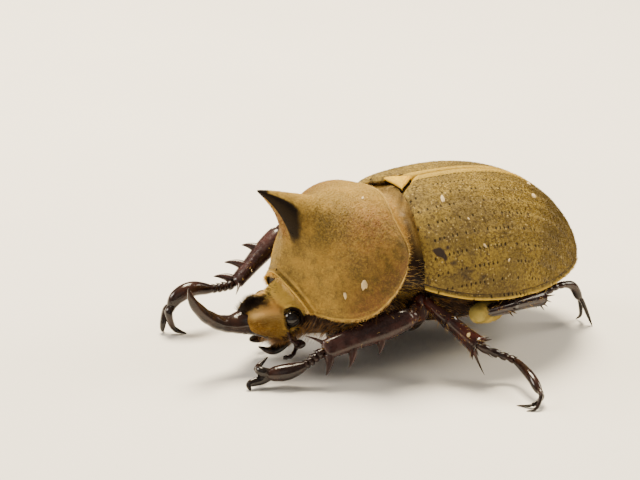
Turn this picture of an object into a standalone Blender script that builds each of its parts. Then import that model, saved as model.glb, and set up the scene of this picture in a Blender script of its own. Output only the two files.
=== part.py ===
"""A horned scarab (elephant beetle, genus Megasoma): a life-size male standing on its six feet.

Frame: +Z up from the floor, -Y towards the head, +X the animal's own left.
While it is built, y = 0 lies at the tip of the scutellum; at the end everything is moved so that
the origin is the middle of the animal's box, on the floor.
Sizes are in millimetres; MM turns them into metres when a mesh is made.
"""

import math

import bmesh
import bpy
from mathutils import Matrix, Vector

MM = 0.001

# ------------------------------------------------------------------ driving dimensions (mm)
GAP = 0.34  # clearance between neighbouring solids
FLOOR = -1.0  # level of the claws' flats while the animal is built
ELYTRON_SHELL = 0.9  # thickness of a wing case
SCUTELLUM_HALF_WIDTH, SCUTELLUM_LENGTH = 2.7, 3.8
CREASE = math.radians(50)  # edges sharper than this stay sharp in the shading

# pronotal horn: the point of the pronotum that is drawn out, where to, and how far around
HORN_ROOT, HORN_TIP = Vector((0, -20.7, 20.7)), Vector((0, -27.75, 27.0))
HORN_SPREAD = 9.0
HORN_REACH_FALL, HORN_RISE_FALL = 4.5, 2.4  # how fast its forward and upward pull fade around it
HORN_CUT = 0.45  # part of the way from root to tip where the horn's own node begins


def spline(*knots):
    """A smooth function through a few (station, value) knots."""

    def slope(i):
        low, high = max(i - 1, 0), min(i + 1, len(knots) - 1)
        return (knots[high][1] - knots[low][1]) / (knots[high][0] - knots[low][0])

    def value(t):
        i = 0
        while i < len(knots) - 2 and t > knots[i + 1][0]:
            i += 1
        (t0, v0), (t1, v1) = knots[i], knots[i + 1]
        h = t1 - t0
        u = min(max((t - t0) / h, 0.0), 1.0)
        ends = v0 * (1 + 2 * u) * (1 - u) ** 2 + v1 * u * u * (3 - 2 * u)
        return ends + h * u * (1 - u) * (slope(i) * (1 - u) - slope(i + 1) * u)

    return value


def steps(count):
    """count + 1 even stations from 0 to 1."""
    return [i / count for i in range(count + 1)]


def curved(points, count):
    """count + 1 points along a smooth curve through a few points."""
    knots = [Vector(p) for p in points]
    axes = [spline(*[(i, p[axis]) for i, p in enumerate(knots)]) for axis in range(3)]
    return [Vector([axis(t * (len(knots) - 1)) for axis in axes]) for t in steps(count)]


# ------------------------------------------------------------------ materials and objects
COLOURS = {
    "velvet": ((0.36, 0.25, 0.075, 1), 0.62),
    "velvet_pale": ((0.55, 0.38, 0.13, 1), 0.6),
    "chitin": ((0.030, 0.015, 0.010, 1), 0.22),
    "chitin_red": ((0.075, 0.018, 0.010, 1), 0.28),
    "eye": ((0.012, 0.009, 0.008, 1), 0.1),
    "belly": ((0.20, 0.12, 0.045, 1), 0.55),
}


def material(name):
    found = bpy.data.materials.get(name)
    if found is None:
        found = bpy.data.materials.new(name)
        found.use_nodes = True
        colour, roughness = COLOURS[name]
        shader = found.node_tree.nodes["Principled BSDF"]
        shader.inputs["Base Color"].default_value = colour
        shader.inputs["Roughness"].default_value = roughness
        found.diffuse_color = colour
    return found


def clip(bm, point, keep):
    """Cut a closed body by a plane, keep the side that the vector points to, and close it."""
    geometry = bm.verts[:] + bm.edges[:] + bm.faces[:]
    bmesh.ops.bisect_plane(bm, geom=geometry, plane_co=point, plane_no=keep, clear_inner=True)
    rim = [edge for edge in bm.edges if edge.is_boundary]
    bmesh.ops.holes_fill(bm, edges=rim, sides=0)


def add(name, body, finish, cuts=()):
    """One closed object from (points, faces) in millimetres, cut by (point, keep) planes."""
    points, faces = body
    bm = bmesh.new()
    vertices = [bm.verts.new(p) for p in points]
    for face in faces:
        bm.faces.new([vertices[i] for i in face])
    for point, keep in cuts:
        clip(bm, point, keep)
    bmesh.ops.triangulate(bm, faces=bm.faces)
    bmesh.ops.recalc_face_normals(bm, faces=bm.faces)
    bmesh.ops.scale(bm, verts=bm.verts, vec=(MM, MM, MM))
    mesh = bpy.data.meshes.new(name)
    bm.to_mesh(mesh)
    bm.free()
    mesh.shade_smooth()
    mesh.set_sharp_from_angle(angle=CREASE)
    mesh.materials.append(material(finish))
    obj = bpy.data.objects.new(name, mesh)
    bpy.context.scene.collection.objects.link(obj)
    return obj


def cutter(name, body):
    """A guide body, left out of the model, that takes its shape out of others."""
    obj = add(name, body, "chitin")
    obj.hide_render = True
    obj.display_type = "WIRE"
    return obj


def take_out(obj, tool):
    cut = obj.modifiers.new("clear " + tool.name, "BOOLEAN")
    cut.operation = "DIFFERENCE"
    cut.object = tool


# ------------------------------------------------------------------ bodies from rings and grids
def loft(rings):
    """A closed body through rings of equal length; flat faces close both ends."""
    size = len(rings[0])
    points = [p for ring in rings for p in ring]
    faces = [list(range(size)), list(range(len(points) - size, len(points)))]
    for i in range(len(rings) - 1):
        for k in range(size):
            a, b = i * size + k, i * size + (k + 1) % size
            faces.append([a, b, b + size, a + size])
    return points, faces


def sheet(grid, thickness):
    """A closed shell of even thickness under a grid of points."""
    rows, columns = len(grid), len(grid[0])

    def normal(i, j):
        down = grid[min(i + 1, rows - 1)][j] - grid[max(i - 1, 0)][j]
        across = grid[i][min(j + 1, columns - 1)] - grid[i][max(j - 1, 0)]
        return across.cross(down).normalized()

    outer = [grid[i][j] for i in range(rows) for j in range(columns)]
    inner = [grid[i][j] - normal(i, j) * thickness for i in range(rows) for j in range(columns)]
    for i in range(rows):
        inner[i * columns].x = grid[i][0].x
    faces = []
    for side in (0, len(outer)):
        for i in range(rows - 1):
            for j in range(columns - 1):
                a = side + i * columns + j
                faces.append([a, a + 1, a + columns + 1, a + columns])
    rim = [(0, j) for j in range(columns - 1)]
    rim += [(i, columns - 1) for i in range(rows - 1)]
    rim += [(rows - 1, j) for j in range(columns - 1, 0, -1)]
    rim += [(i, 0) for i in range(rows - 1, 0, -1)]
    ids = [i * columns + j for i, j in rim]
    for a, b in zip(ids, ids[1:] + ids[:1]):
        faces.append([a, b, b + len(outer), a + len(outer)])
    return outer + inner, faces


def ellipse(centre, along, outward, half_width, half_height, sides, tooth=0.0):
    """A ring of points across a limb; a tooth draws its first point out sideways."""
    rise = along.cross(outward).normalized()
    side = rise.cross(along).normalized()
    ring = []
    for k in range(sides):
        angle = math.tau * k / sides
        point = centre + side * half_width * math.cos(angle) + rise * half_height * math.sin(angle)
        ring.append(point + (side + along * 0.7) * tooth if k == 0 else point)
    return ring


def tube(path, sizes, outward=(1, 0, 0), sides=8, grow=0.0):
    """A body along a path; sizes are (half width outward, half height[, tooth]) at each point."""
    rings = []
    for i, (centre, size) in enumerate(zip(path, sizes)):
        along = (path[min(i + 1, len(path) - 1)] - path[max(i - 1, 0)]).normalized()
        if grow and i in (0, len(path) - 1):
            centre = centre + along * (grow if i else -grow)
        tooth = size[2] if len(size) > 2 else 0.0
        half_width, half_height = size[0] + grow, size[1] + grow
        rings.append(ellipse(centre, along, Vector(outward), half_width, half_height, sides, tooth))
    return loft(rings)


def ball(centre, radii, along=(1, 0, 0), outward=(0, 1, 0), sides=10, rings=7, grow=0.0):
    """An egg-shaped body: radii are (along its axis, outward, across both)."""
    centre, along = Vector(centre), Vector(along).normalized()
    path, sizes = [], []
    for i in range(rings):
        turn = math.pi * (i + 0.5) / rings
        path.append(centre - along * (radii[0] + grow) * math.cos(turn))
        sizes.append(((radii[1] + grow) * math.sin(turn), (radii[2] + grow) * math.sin(turn)))
    return tube(path, sizes, outward, sides)


# ------------------------------------------------------------------ wing cases
# (place along the body, size there)
HALF_WIDTH = spline(
    (-6.2, 12.6), (-2, 14.8), (4, 16.4), (9, 16.8), (16, 15.4),
    (22, 12.4), (26.5, 8.6), (29.2, 4.4), (30.2, 1.6),
)
CREST = spline(
    (-6.2, 24.6), (-2, 25.6), (5, 26.0), (11, 25.7), (17, 24.5),
    (22.5, 21.6), (26.5, 17.4), (29.2, 12.9), (30.2, 10.3),
)
MARGIN = spline((-6.2, 12.6), (2, 10.8), (12, 10.4), (20, 10.6), (27, 10.7), (30.2, 9.7))
# front edge of a wing case: (distance from the suture, place along the body)
BASE_EDGE = spline(
    (0, -0.35), (0.5, -0.9), (SCUTELLUM_HALF_WIDTH, -3.9), (4.5, -4.4), (9, -5.2), (13, -5.3), (17, -4.2)
)
BASE_REACH = 13.0  # how far out the front edge is read at the side
BASE_DIP = Vector((-0.25, 0, -0.45))  # how the front edge is rolled down and in
ELYTRA_END = 30.15
SQUARENESS = 0.9  # below 1 a section is boxier than an ellipse, above 1 it is more peaked


def dome(y, turn, inset=0.0):
    """A point of the hind body's upper surface; turn runs from the suture to the side."""
    rise = max(math.cos(turn), 0.0) ** SQUARENESS
    x = (HALF_WIDTH(y) - inset) * math.sin(turn) ** SQUARENESS
    return Vector((x, y, MARGIN(y) + (CREST(y) - inset - MARGIN(y)) * rise))


def elytron(name, side):
    """One wing case: from the scutellum's edge to the apex, and down to its margin."""
    turns = [math.radians(a) for a in (0, 7, 13.5, 24, 36, 48, 60, 71, 81, 90)]
    grid = []
    for t in steps(15):
        travel = math.sin(t * math.pi / 2) ** 1.15
        row = []
        for turn in turns:
            start = BASE_EDGE(BASE_REACH * math.sin(turn))
            point = dome(start + (ELYTRA_END - start) * travel, turn)
            if t == 0:
                point += Vector((BASE_DIP.x * math.sin(turn), 0, BASE_DIP.z))
            if turn == 0:
                point.x = GAP / 2
            row.append(Vector((side * point.x, point.y, point.z)))
        grid.append(row)
    return add(name, sheet(grid, side * ELYTRON_SHELL), "velvet")


def scutellum():
    """The small triangular plate between the wing cases' bases."""
    half, front = SCUTELLUM_HALF_WIDTH - GAP - 0.1, -SCUTELLUM_LENGTH + 0.2
    tip_half, tip = 0.35, -0.85
    outline = [(-half, front), (half, front), (tip_half, tip), (-tip_half, tip)]
    top = [Vector((x, y, CREST(y) + 0.05)) for x, y in outline]
    bottom = [p - Vector((0, 0, 1.0)) for p in top]
    return add("scutellum", loft([bottom, top]), "velvet_pale")


# ------------------------------------------------------------------ pronotum with its horn
REAR_BOW = 1.6  # how far the rear edge bows forward on each side of the middle
# s runs from the rear edge (0) to the front edge (1)
SIDE_X = spline((0, 12.7), (0.12, 13.9), (0.3, 14.4), (0.5, 13.4), (0.75, 10.7), (1, 6.2))
SIDE_Y = spline((0, -8.9), (0.12, -9.9), (0.3, -12.0), (0.5, -15.0), (0.75, -18.2), (1, -21.3))
SIDE_Z = spline((0, 17.4), (0.12, 16.0), (0.3, 13.2), (0.5, 10.2), (0.75, 8.9), (1, 8.8))
TOP_Y = spline(
    (0, -7.1), (0.15, -9.4), (0.4, -14.6), (0.6, -18.3), (0.75, -20.9), (0.88, -22.4), (1, -24.1)
)
TOP_Z = spline((0, 24.6), (0.15, 25.1), (0.4, 24.5), (0.6, 22.6), (0.75, 20.4), (0.88, 17.1), (1, 13.3))
PEAK = spline((0, SQUARENESS), (0.3, SQUARENESS), (0.58, 1.15), (0.85, 1.4), (1, 1.4))  # of its sections


def pronotum_point(s, turn):
    """A point of the pronotum; turn runs from the right margin (-90 degrees) to the left."""
    rise = math.cos(turn) ** PEAK(s)
    bow = REAR_BOW * math.sin(2 * turn) ** 2 * (1 - s) ** 3
    point = Vector((
        math.copysign(abs(math.sin(turn)) ** PEAK(s), turn) * SIDE_X(s),
        SIDE_Y(s) + (TOP_Y(s) - SIDE_Y(s)) * rise - bow,
        SIDE_Z(s) + (TOP_Z(s) - SIDE_Z(s)) * rise,
    ))
    near = max(1 - (point - HORN_ROOT).length / HORN_SPREAD, 0.0)
    pull = HORN_TIP - HORN_ROOT
    return point + Vector((0, pull.y * near ** HORN_REACH_FALL, pull.z * near ** HORN_RISE_FALL))


def pronotum_rings():
    """Closed rings: the arch from side to side, then back across beneath."""
    turns = [math.radians(a) for a in (-90, -80, -69, -58, -47, -37, -28, -19, -11, -5, 0)]
    turns += [-turn for turn in reversed(turns[:-1])]
    rings = []
    for s in (0, 0.04, 0.12, 0.22, 0.33, 0.43, 0.52, 0.59, 0.65, 0.70, 0.735, 0.77, 0.81, 0.87, 0.93, 1):
        arch = [pronotum_point(s, turn) for turn in turns]
        beneath = [arch[-1].lerp(arch[0], t) for t in (0.2, 0.4, 0.6, 0.8)]
        rings.append(arch + beneath)
    return rings


def pronotum():
    body = loft(pronotum_rings())
    lean = (HORN_TIP - HORN_ROOT).normalized()
    seam = HORN_ROOT.lerp(HORN_TIP, HORN_CUT)
    add("pronotum", body, "velvet", [(seam - lean * GAP / 2, -lean)])
    return add("pronotum_horn", body, "chitin", [(seam + lean * GAP / 2, lean)])


# ------------------------------------------------------------------ underside
REAR_LEAN, FRONT_LEAN = 0.25, 0.18  # how far the keel's two ends lean back per mm down
KEEL = 3.0  # level of the lowest line under the chest
# the keel's section: (share of the half width, share of the depth)
KEEL_SECTION = ((-0.7, 0.35), (-0.42, 0.85), (-0.15, 1), (0.15, 1), (0.42, 0.85), (0.7, 0.35))
BELLY = spline((-9, 3.6), (2, 2.7), (9, 2.9), (20, 3.7), (29, 6.0), (33, 8.0))
FLANK = spline(
    (-9, 7.0), (-3, 7.3), (0.5, 8.6), (4, 9.6), (9, 9.6), (14, 8.8), (20, 7.2), (25, 5.6), (28, 4.0)
)
INSET = spline((-9, 1.55), (14, 1.6), (20, 2.2), (24, 3.2), (27, 4.4))  # from the wing cases' outer face
# the belly's section: (share of the flank, share of the depth)
BELLY_SECTION = ((1.0, 0.2), (0.86, 0.6), (0.58, 0.93), (0.2, 1.0))
NECK_SUNK = 1.0  # how much slimmer the body is behind the pronotum
WAIST = 9.5  # where the abdomen begins
BODY_END = 27
# the rounded end of the abdomen: (further back, share of the last section)
TAIL = ((0.9, 0.82), (1.6, 0.5))


def prosternum():
    """The underside of the pronotum, a keel that narrows between the front legs."""
    rings = []
    for s in (0, 0.2, 0.4, 0.6, 0.8, 1):
        half, level, y = SIDE_X(s) * 0.95, SIDE_Z(s) - GAP - 0.2, SIDE_Y(s)
        lean = REAR_LEAN * (1 - s) - FRONT_LEAN * s
        ring = [Vector((half * t, y, level)) for t in (1, 0.5, 0, -0.5, -1)]
        for across, drop in KEEL_SECTION:
            depth = (level - KEEL) * drop
            ring.append(Vector((half * across, y - depth * lean, level - depth)))
        rings.append(ring)
    return add("prosternum", loft(rings), "belly")


def hind_ring(y, sunk=0.0, lean=0.0):
    """A section of the body under the wing cases, clear of their inside."""
    turns = [math.radians(a) for a in (-88, -72, -54, -36, -18, 0, 18, 36, 54, 72, 88)]
    ring = []
    for turn in turns:
        point = dome(y, abs(turn), INSET(y) + sunk)
        ring.append(Vector((math.copysign(point.x, turn), y, point.z)))
    middle = ring[-1].z
    lower = BELLY_SECTION + tuple((-across, drop) for across, drop in reversed(BELLY_SECTION))
    for across, drop in lower:
        ring.append(Vector((FLANK(y) * across, y, middle - (middle - BELLY(y)) * drop)))
    for point in ring:
        point.y += lean * (point.z - TOP_Z(0))
    return ring


def hind_body():
    """The rest of the thorax, with a sunk neck behind the pronotum, and the abdomen."""
    neck_y = TOP_Y(0) + GAP + 0.1
    neck = [hind_ring(neck_y, NECK_SUNK, REAR_LEAN), hind_ring(-4.6, NECK_SUNK, REAR_LEAN * 0.4)]
    middle = [hind_ring(y) for y in (-3.3, -0.5, 3, 6.5, WAIST)]
    rear = [hind_ring(y) for y in (WAIST + GAP, 13, 17, 21, 24.5, BODY_END)]
    last = rear[-1]
    centre = sum(last, Vector()) / len(last)
    for back, share in TAIL:
        rear.append([centre + (point - centre) * share + Vector((0, back, 0)) for point in last])
    return add("thorax", loft(neck + middle), "belly"), add("abdomen", loft(rear), "belly")


# ------------------------------------------------------------------ head
# stations from the neck to the horn's tip: (y, z, half width, half height)
HEAD = (
    (-18.6, 7.6, 4.3, 3.9), (-20.8, 7.7, 4.7, 4.4), (-22.9, 7.3, 4.7, 4.0), (-24.9, 6.8, 4.1, 3.1),
    (-26.6, 6.6, 3.1, 2.8), (-28.4, 6.3, 2.15, 2.2), (-31.0, 6.35, 1.5, 1.45), (-33.2, 6.9, 1.25, 1.2),
    (-35.3, 8.2, 1.1, 1.1), (-37.0, 9.9, 0.9, 0.9), (-38.1, 11.6, 0.65, 0.65), (-38.6, 13.2, 0.28, 0.28),
)
HORN_SEAM = 5  # the station where the head's horn begins
NECK_LEAN = 0.3  # how far the neck's end leans back per mm down
EYE, EYE_RADII = (4.5, -23.3, 7.6), (1.4, 1.25, 1.25)
# routes on the left side, and (half width outward, half height) along them
FEELER = ((5.0, -24.0, 5.5), (5.8, -24.1, 4.8), (6.1, -23.3, 4.2), (5.9, -22.0, 3.7))
FEELER_SIZES = ((0.35, 0.35), (0.3, 0.3), (0.3, 0.3), (0.35, 0.4), (0.55, 0.8), (0.6, 0.9), (0.35, 0.5))
JAW = ((2.3, -23.8, 2.0), (2.4, -25.6, 2.0), (1.2, -27.0, 2.4))
JAW_SIZES = ((0.9, 0.6), (1.0, 0.6), (0.9, 0.55), (0.6, 0.45), (0.3, 0.3))
PALP = ((3.0, -21.4, 1.9), (4.2, -22.8, 1.4), (4.3, -24.3, 1.3))
PALP_SIZES = ((0.3, 0.3), (0.35, 0.35), (0.3, 0.3), (0.4, 0.4), (0.28, 0.28))


def head():
    """The skull, cut off behind the pronotum's front edge and where its horn begins."""
    path = [Vector((0, y, z)) for y, z, _, _ in HEAD]
    sizes = [(width, height) for _, _, width, height in HEAD]
    body = tube(path, sizes, sides=14)
    seam = path[HORN_SEAM]
    forward = (path[HORN_SEAM + 1] - path[HORN_SEAM - 1]).normalized()
    neck = Vector((0, -1, -NECK_LEAN)).normalized()
    front_edge = Vector((0, TOP_Y(1), TOP_Z(1)))
    cuts = [(front_edge + neck * (GAP + 0.1), neck), (seam - forward * GAP / 2, -forward)]
    skull = add("head", body, "velvet_pale", cuts)
    add("head_horn", body, "chitin", [(seam + forward * GAP / 2, forward)])
    return skull


def on_side(side, points):
    """Points given for the left, on the side asked for: 1 is left, -1 is right."""
    return [Vector((side * x, y, z)) for x, y, z in points]


def head_parts(skull):
    """Eyes in sockets, feelers with a club, jaws and palps, on both sides."""
    for side, label in ((1, "left"), (-1, "right")):
        eye = on_side(side, [EYE])[0]
        along, outward = (0, 1, 0), (1, 0, 0)
        add("eye_" + label, ball(eye, EYE_RADII, along, outward, 8, 6), "eye")
        take_out(skull, cutter("socket_" + label, ball(eye, EYE_RADII, along, outward, 8, 6, GAP)))
        feeler, jaw, palp = (curved(on_side(side, route), count)
                             for route, count in ((FEELER, 6), (JAW, 4), (PALP, 4)))
        add("antenna_" + label, tube(feeler, FEELER_SIZES), "chitin_red")
        add("mandible_" + label, tube(jaw, JAW_SIZES), "chitin")
        add("palp_" + label, tube(palp, PALP_SIZES, sides=6), "chitin_red")


# ------------------------------------------------------------------ legs
# (place along the limb, half width outward, half height[, tooth])
FEMUR = (
    (-0.06, 0.9, 0.9), (0.06, 1.35, 1.3), (0.3, 1.75, 1.55), (0.6, 1.8, 1.5), (0.85, 1.5, 1.3),
    (1, 1.25, 1.1), (1.08, 0.7, 0.6),
)
FRONT_TIBIA = (
    (-0.06, 1.0, 0.8), (0.0, 1.5, 1.0), (0.15, 1.85, 1.0), (0.36, 1.9, 0.95), (0.42, 1.85, 0.95, 1.3),
    (0.47, 1.75, 0.95), (0.64, 1.65, 0.95), (0.71, 1.7, 0.95, 2.0), (0.75, 1.6, 0.95), (0.9, 1.5, 0.9),
    (0.97, 1.5, 0.9, 2.0), (1.01, 1.1, 0.7),
)
TIBIA = (
    (-0.06, 0.6, 0.5), (0.0, 1.0, 0.85), (0.15, 1.15, 0.95), (0.4, 1.4, 1.1), (0.5, 1.5, 1.2, 0.6),
    (0.54, 1.4, 1.1), (0.8, 1.5, 1.2), (0.95, 1.7, 1.35), (1.0, 1.8, 1.45, 0.5), (1.01, 1.1, 0.9),
)
# five joints of a foot, four short beads and a long one: (place, half width) with waists between
FOOT = (
    (0.0, 0.42), (0.05, 0.62), (0.10, 0.7), (0.125, 0.45), (0.16, 0.6), (0.22, 0.68), (0.245, 0.45),
    (0.28, 0.58), (0.34, 0.64), (0.365, 0.42), (0.40, 0.56), (0.46, 0.62), (0.485, 0.4), (0.53, 0.55),
    (0.7, 0.75), (0.88, 0.7), (1.0, 0.5),
)
FRONT_FOOT = (
    (0.0, 0.5), (0.03, 0.75), (0.055, 0.85), (0.07, 0.55), (0.09, 0.75), (0.115, 0.82), (0.13, 0.55),
    (0.15, 0.72), (0.175, 0.8), (0.19, 0.52), (0.21, 0.7), (0.235, 0.76), (0.255, 0.55), (0.33, 0.95),
    (0.48, 1.22), (0.7, 1.2), (0.88, 0.9), (1.0, 0.5),
)
FOOT_STATIONS = 200
COXA_RADII = (2.5, 1.9, 2.1)
KNEE_GIRTH = 2.3  # how much room a bent knee needs
CLAW_ROOT, CLAW_BOW = 0.8, 0.9  # gap after the foot, bow of a claw
CLAW_HUB = 1.2  # half width of the hub that joins the two claws, in half widths of a claw's base
CLAW_TIP, CLAW_BASE, FRONT_CLAW_BASE = 0.28, 0.52, 0.7  # half widths


def limb(start, end, profile):
    """Stations of a straight limb from a profile in shares of its length."""
    path = [start.lerp(end, place[0]) for place in profile]
    return path, [place[1:] for place in profile]


def joint(before, at, after, girth):
    """Where two limbs end and begin so that they part at the plane that halves their angle."""
    inward, outward = (at - before).normalized(), (after - at).normalized()
    normal = (inward + outward).normalized()
    spread = girth * (1 - inward.dot(outward)) / 2
    return at - normal * spread / 2, at + normal * spread / 2, normal


def foot(name, start, toes, at, plane, claws, beads, claw_base):
    """The beaded foot from the ankle, and the two claws at its end as one solid."""
    along = curved([start] + toes, FOOT_STATIONS)
    path = [along[round(place * FOOT_STATIONS)] for place, _ in beads]
    sizes = [(girth, girth) for _, girth in beads]
    forward = (path[-1] - path[-2]).normalized()
    flat = Vector((forward.y, -forward.x, 0)).normalized()
    add("tarsus_" + name, tube(path, sizes, flat, sides=6), "chitin", [(at + plane * GAP / 2, plane)])

    root = path[-1] + forward * (GAP + CLAW_ROOT)
    spread = forward.cross(claws[0].lerp(claws[1], 0.5) - root).normalized() * CLAW_HUB * claw_base
    if spread.dot(claws[1] - claws[0]) < 0:
        spread = -spread
    bends = [root.lerp(tip, 0.5) + forward * CLAW_BOW for tip in claws]
    ends = [tip + (tip - bend).normalized() * 0.3 for tip, bend in zip(claws, bends)]
    route = curved([ends[0], bends[0], root - spread, root + spread, bends[1], ends[1]], 10)
    sizes = [(CLAW_TIP + (claw_base - CLAW_TIP) * math.sin(t * math.pi),) * 2 for t in steps(10)]
    ground = [(Vector((0, 0, FLOOR)), Vector((0, 0, 1)))]
    add("claws_" + name, tube(route, sizes, forward, sides=6), "chitin", ground)


def leg(name, coxa, hip, knee, ankle, toes, claws, outward, finish, bodies, shin, beads, claw_base):
    """One leg as separate solids from coxa to claws; bodies get a socket for the coxa and femur."""
    coxa, hip, knee, ankle = Vector(coxa), Vector(hip), Vector(knee), Vector(ankle)
    toes, claws = [Vector(p) for p in toes], [Vector(p) for p in claws]
    over = (math.copysign(1, coxa.x), 0, 0.3)

    _, femur_start, hip_plane = joint(coxa, hip, knee, 0.0)
    femur_end, tibia_start, knee_plane = joint(hip, knee, ankle, KNEE_GIRTH)
    tibia_end, foot_start, ankle_plane = joint(knee, ankle, toes[0], 0.0)

    hip_cut = [(hip - hip_plane * GAP / 2, -hip_plane)]
    add("coxa_" + name, ball(coxa, COXA_RADII, sides=8, rings=6), "chitin", hip_cut)
    path, sizes = limb(femur_start, femur_end, FEMUR)
    cuts = [(hip + hip_plane * GAP / 2, hip_plane), (knee - knee_plane * GAP / 2, -knee_plane)]
    add("femur_" + name, tube(path, sizes, over), finish, cuts)
    for body in bodies:
        take_out(body, cutter("socket_" + name, ball(coxa, COXA_RADII, sides=8, rings=6, grow=GAP)))
        take_out(body, cutter("groove_" + name, tube(path, sizes, over, grow=GAP)))

    path, sizes = limb(tibia_start, tibia_end, shin)
    cuts = [(knee + knee_plane * GAP / 2, knee_plane), (ankle - ankle_plane * GAP / 2, -ankle_plane)]
    add("tibia_" + name, tube(path, sizes, outward), "chitin_red", cuts)
    foot(name, foot_start, toes, ankle, ankle_plane, claws, beads, claw_base)


FRONT_LEFT = dict(
    coxa=(5.0, -14.8, 4.2), hip=(6.6, -14.0, 4.8), knee=(12.8, -7.0, 8.5), ankle=(10.8, -21.4, 4.6),
    toes=[(10.1, -23.9, 2.5), (9.4, -26.2, 1.55), (8.7, -28.0, 1.2), (8.1, -29.5, 1.0)],
    claws=[(5.8, -28.0, 2.7), (8.4, -32.2, FLOOR)],
)
FRONT_RIGHT = dict(
    coxa=(-5.0, -14.8, 4.2), hip=(-6.8, -14.5, 4.2), knee=(-18.4, -12.4, 12.3), ankle=(-16.5, -21.6, 5.2),
    toes=[(-16.3, -25.5, 5.1), (-16.0, -29.4, 5.8), (-16.0, -32.0, 4.9), (-16.0, -33.3, 3.1)],
    claws=[(-16.6, -33.9, FLOOR), (-14.5, -31.0, FLOOR)],
)
MIDDLE = dict(
    coxa=(5.0, -2.4, 4.5), hip=(6.7, -2.8, 5.0), knee=(11.4, -4.6, 10.4), ankle=(19.5, 0.3, 5.0),
    toes=[(20.4, 3.6, 3.4), (22.3, 5.5, 2.7), (27.0, 5.0, 2.1), (29.8, 4.6, 0.9)],
    claws=[(29.0, 1.2, FLOOR), (31.2, 1.4, FLOOR)],
)
HIND = dict(
    coxa=(6.0, 12.6, 4.2), hip=(7.6, 12.2, 4.6), knee=(14.0, 3.8, 7.4), ankle=(9.2, 19.4, 6.0),
    toes=[(8.4, 23.0, 6.8), (7.6, 27.0, 6.2), (7.6, 29.0, 3.6)],
    claws=[(9.4, 30.8, FLOOR), (5.8, 30.2, FLOOR)],
)


def mirrored(places):
    """The same leg on the other side."""
    flipped = {key: on_side(-1, [places[key]])[0] for key in ("coxa", "hip", "knee", "ankle")}
    flipped.update({key: on_side(-1, places[key]) for key in ("toes", "claws")})
    return flipped


def legs(chest, thorax, abdomen):
    """Six legs; the front two stand differently, the others mirror each other."""
    front = dict(shin=FRONT_TIBIA, beads=FRONT_FOOT, claw_base=FRONT_CLAW_BASE, finish="chitin")
    leg("front_left", **FRONT_LEFT, outward=(0.6, 0.1, -0.8), bodies=[chest, thorax], **front)
    leg("front_right", **FRONT_RIGHT, outward=(-0.95, 0, -0.25), bodies=[chest], **front)
    pairs = (("middle", MIDDLE, "chitin_red", [thorax]), ("hind", HIND, "velvet", [thorax, abdomen]))
    for pair, places, finish, bodies in pairs:
        same = dict(shin=TIBIA, beads=FOOT, claw_base=CLAW_BASE, finish=finish, bodies=bodies)
        leg(pair + "_left", **places, outward=(1, 0, 0.4), **same)
        leg(pair + "_right", **mirrored(places), outward=(-1, 0, 0.4), **same)


# ------------------------------------------------------------------ the whole animal
def settle():
    """Move everything so that the box of the animal stands on the floor, centred."""
    shown = [obj for obj in bpy.context.scene.objects if not obj.hide_render]
    corners = [vertex.co for obj in shown for vertex in obj.data.vertices]
    low = Vector([min(c[axis] for c in corners) for axis in range(3)])
    high = Vector([max(c[axis] for c in corners) for axis in range(3)])
    shift = Vector((-(low.x + high.x) / 2, -(low.y + high.y) / 2, -low.z))
    for mesh in bpy.data.meshes:
        mesh.transform(Matrix.Translation(shift))


def build():
    for obj in list(bpy.data.objects):
        bpy.data.objects.remove(obj)
    elytron("elytron_left", 1)
    elytron("elytron_right", -1)
    scutellum()
    pronotum()
    chest = prosternum()
    thorax, abdomen = hind_body()
    head_parts(head())
    legs(chest, thorax, abdomen)
    settle()


build()
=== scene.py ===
"""Looks of the horned scarab: fine shell plates, head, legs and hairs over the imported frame.

Lengths are in millimetres in the animal's building frame, where y = 0 is the tip of the
scutellum; place() turns them into metres in the frame's own axes.
"""

import math

import bpy
import numpy as np
from mathutils import Matrix, Vector


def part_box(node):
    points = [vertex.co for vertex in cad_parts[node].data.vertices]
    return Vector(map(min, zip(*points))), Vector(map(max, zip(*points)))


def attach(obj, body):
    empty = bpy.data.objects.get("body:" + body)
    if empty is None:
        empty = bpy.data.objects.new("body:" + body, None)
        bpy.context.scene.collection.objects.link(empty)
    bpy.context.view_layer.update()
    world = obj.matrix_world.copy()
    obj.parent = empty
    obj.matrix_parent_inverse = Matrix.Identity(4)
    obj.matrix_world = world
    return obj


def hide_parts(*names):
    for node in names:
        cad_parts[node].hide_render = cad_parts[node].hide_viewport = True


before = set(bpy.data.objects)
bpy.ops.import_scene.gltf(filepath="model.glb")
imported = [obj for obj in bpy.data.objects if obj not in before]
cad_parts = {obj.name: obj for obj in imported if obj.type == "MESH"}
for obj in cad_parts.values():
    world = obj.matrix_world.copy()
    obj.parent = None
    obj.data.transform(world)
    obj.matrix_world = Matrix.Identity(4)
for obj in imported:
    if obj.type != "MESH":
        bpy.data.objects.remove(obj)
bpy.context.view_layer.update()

MM = 0.001
SCUTELLUM_TIP, CLAW_FLAT = -0.85, -1.0
SHIFT = np.array((0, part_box("scutellum")[1].y / MM - SCUTELLUM_TIP, -CLAW_FLAT))
QUARTER_TURN = math.pi / 2
MIRROR = np.array((-1, 1, 1))
SIDES = ((1, "left"), (-1, "right"))


def place(points):
    return (np.asarray(points, float).reshape(-1, 3) + SHIFT) * MM


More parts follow.
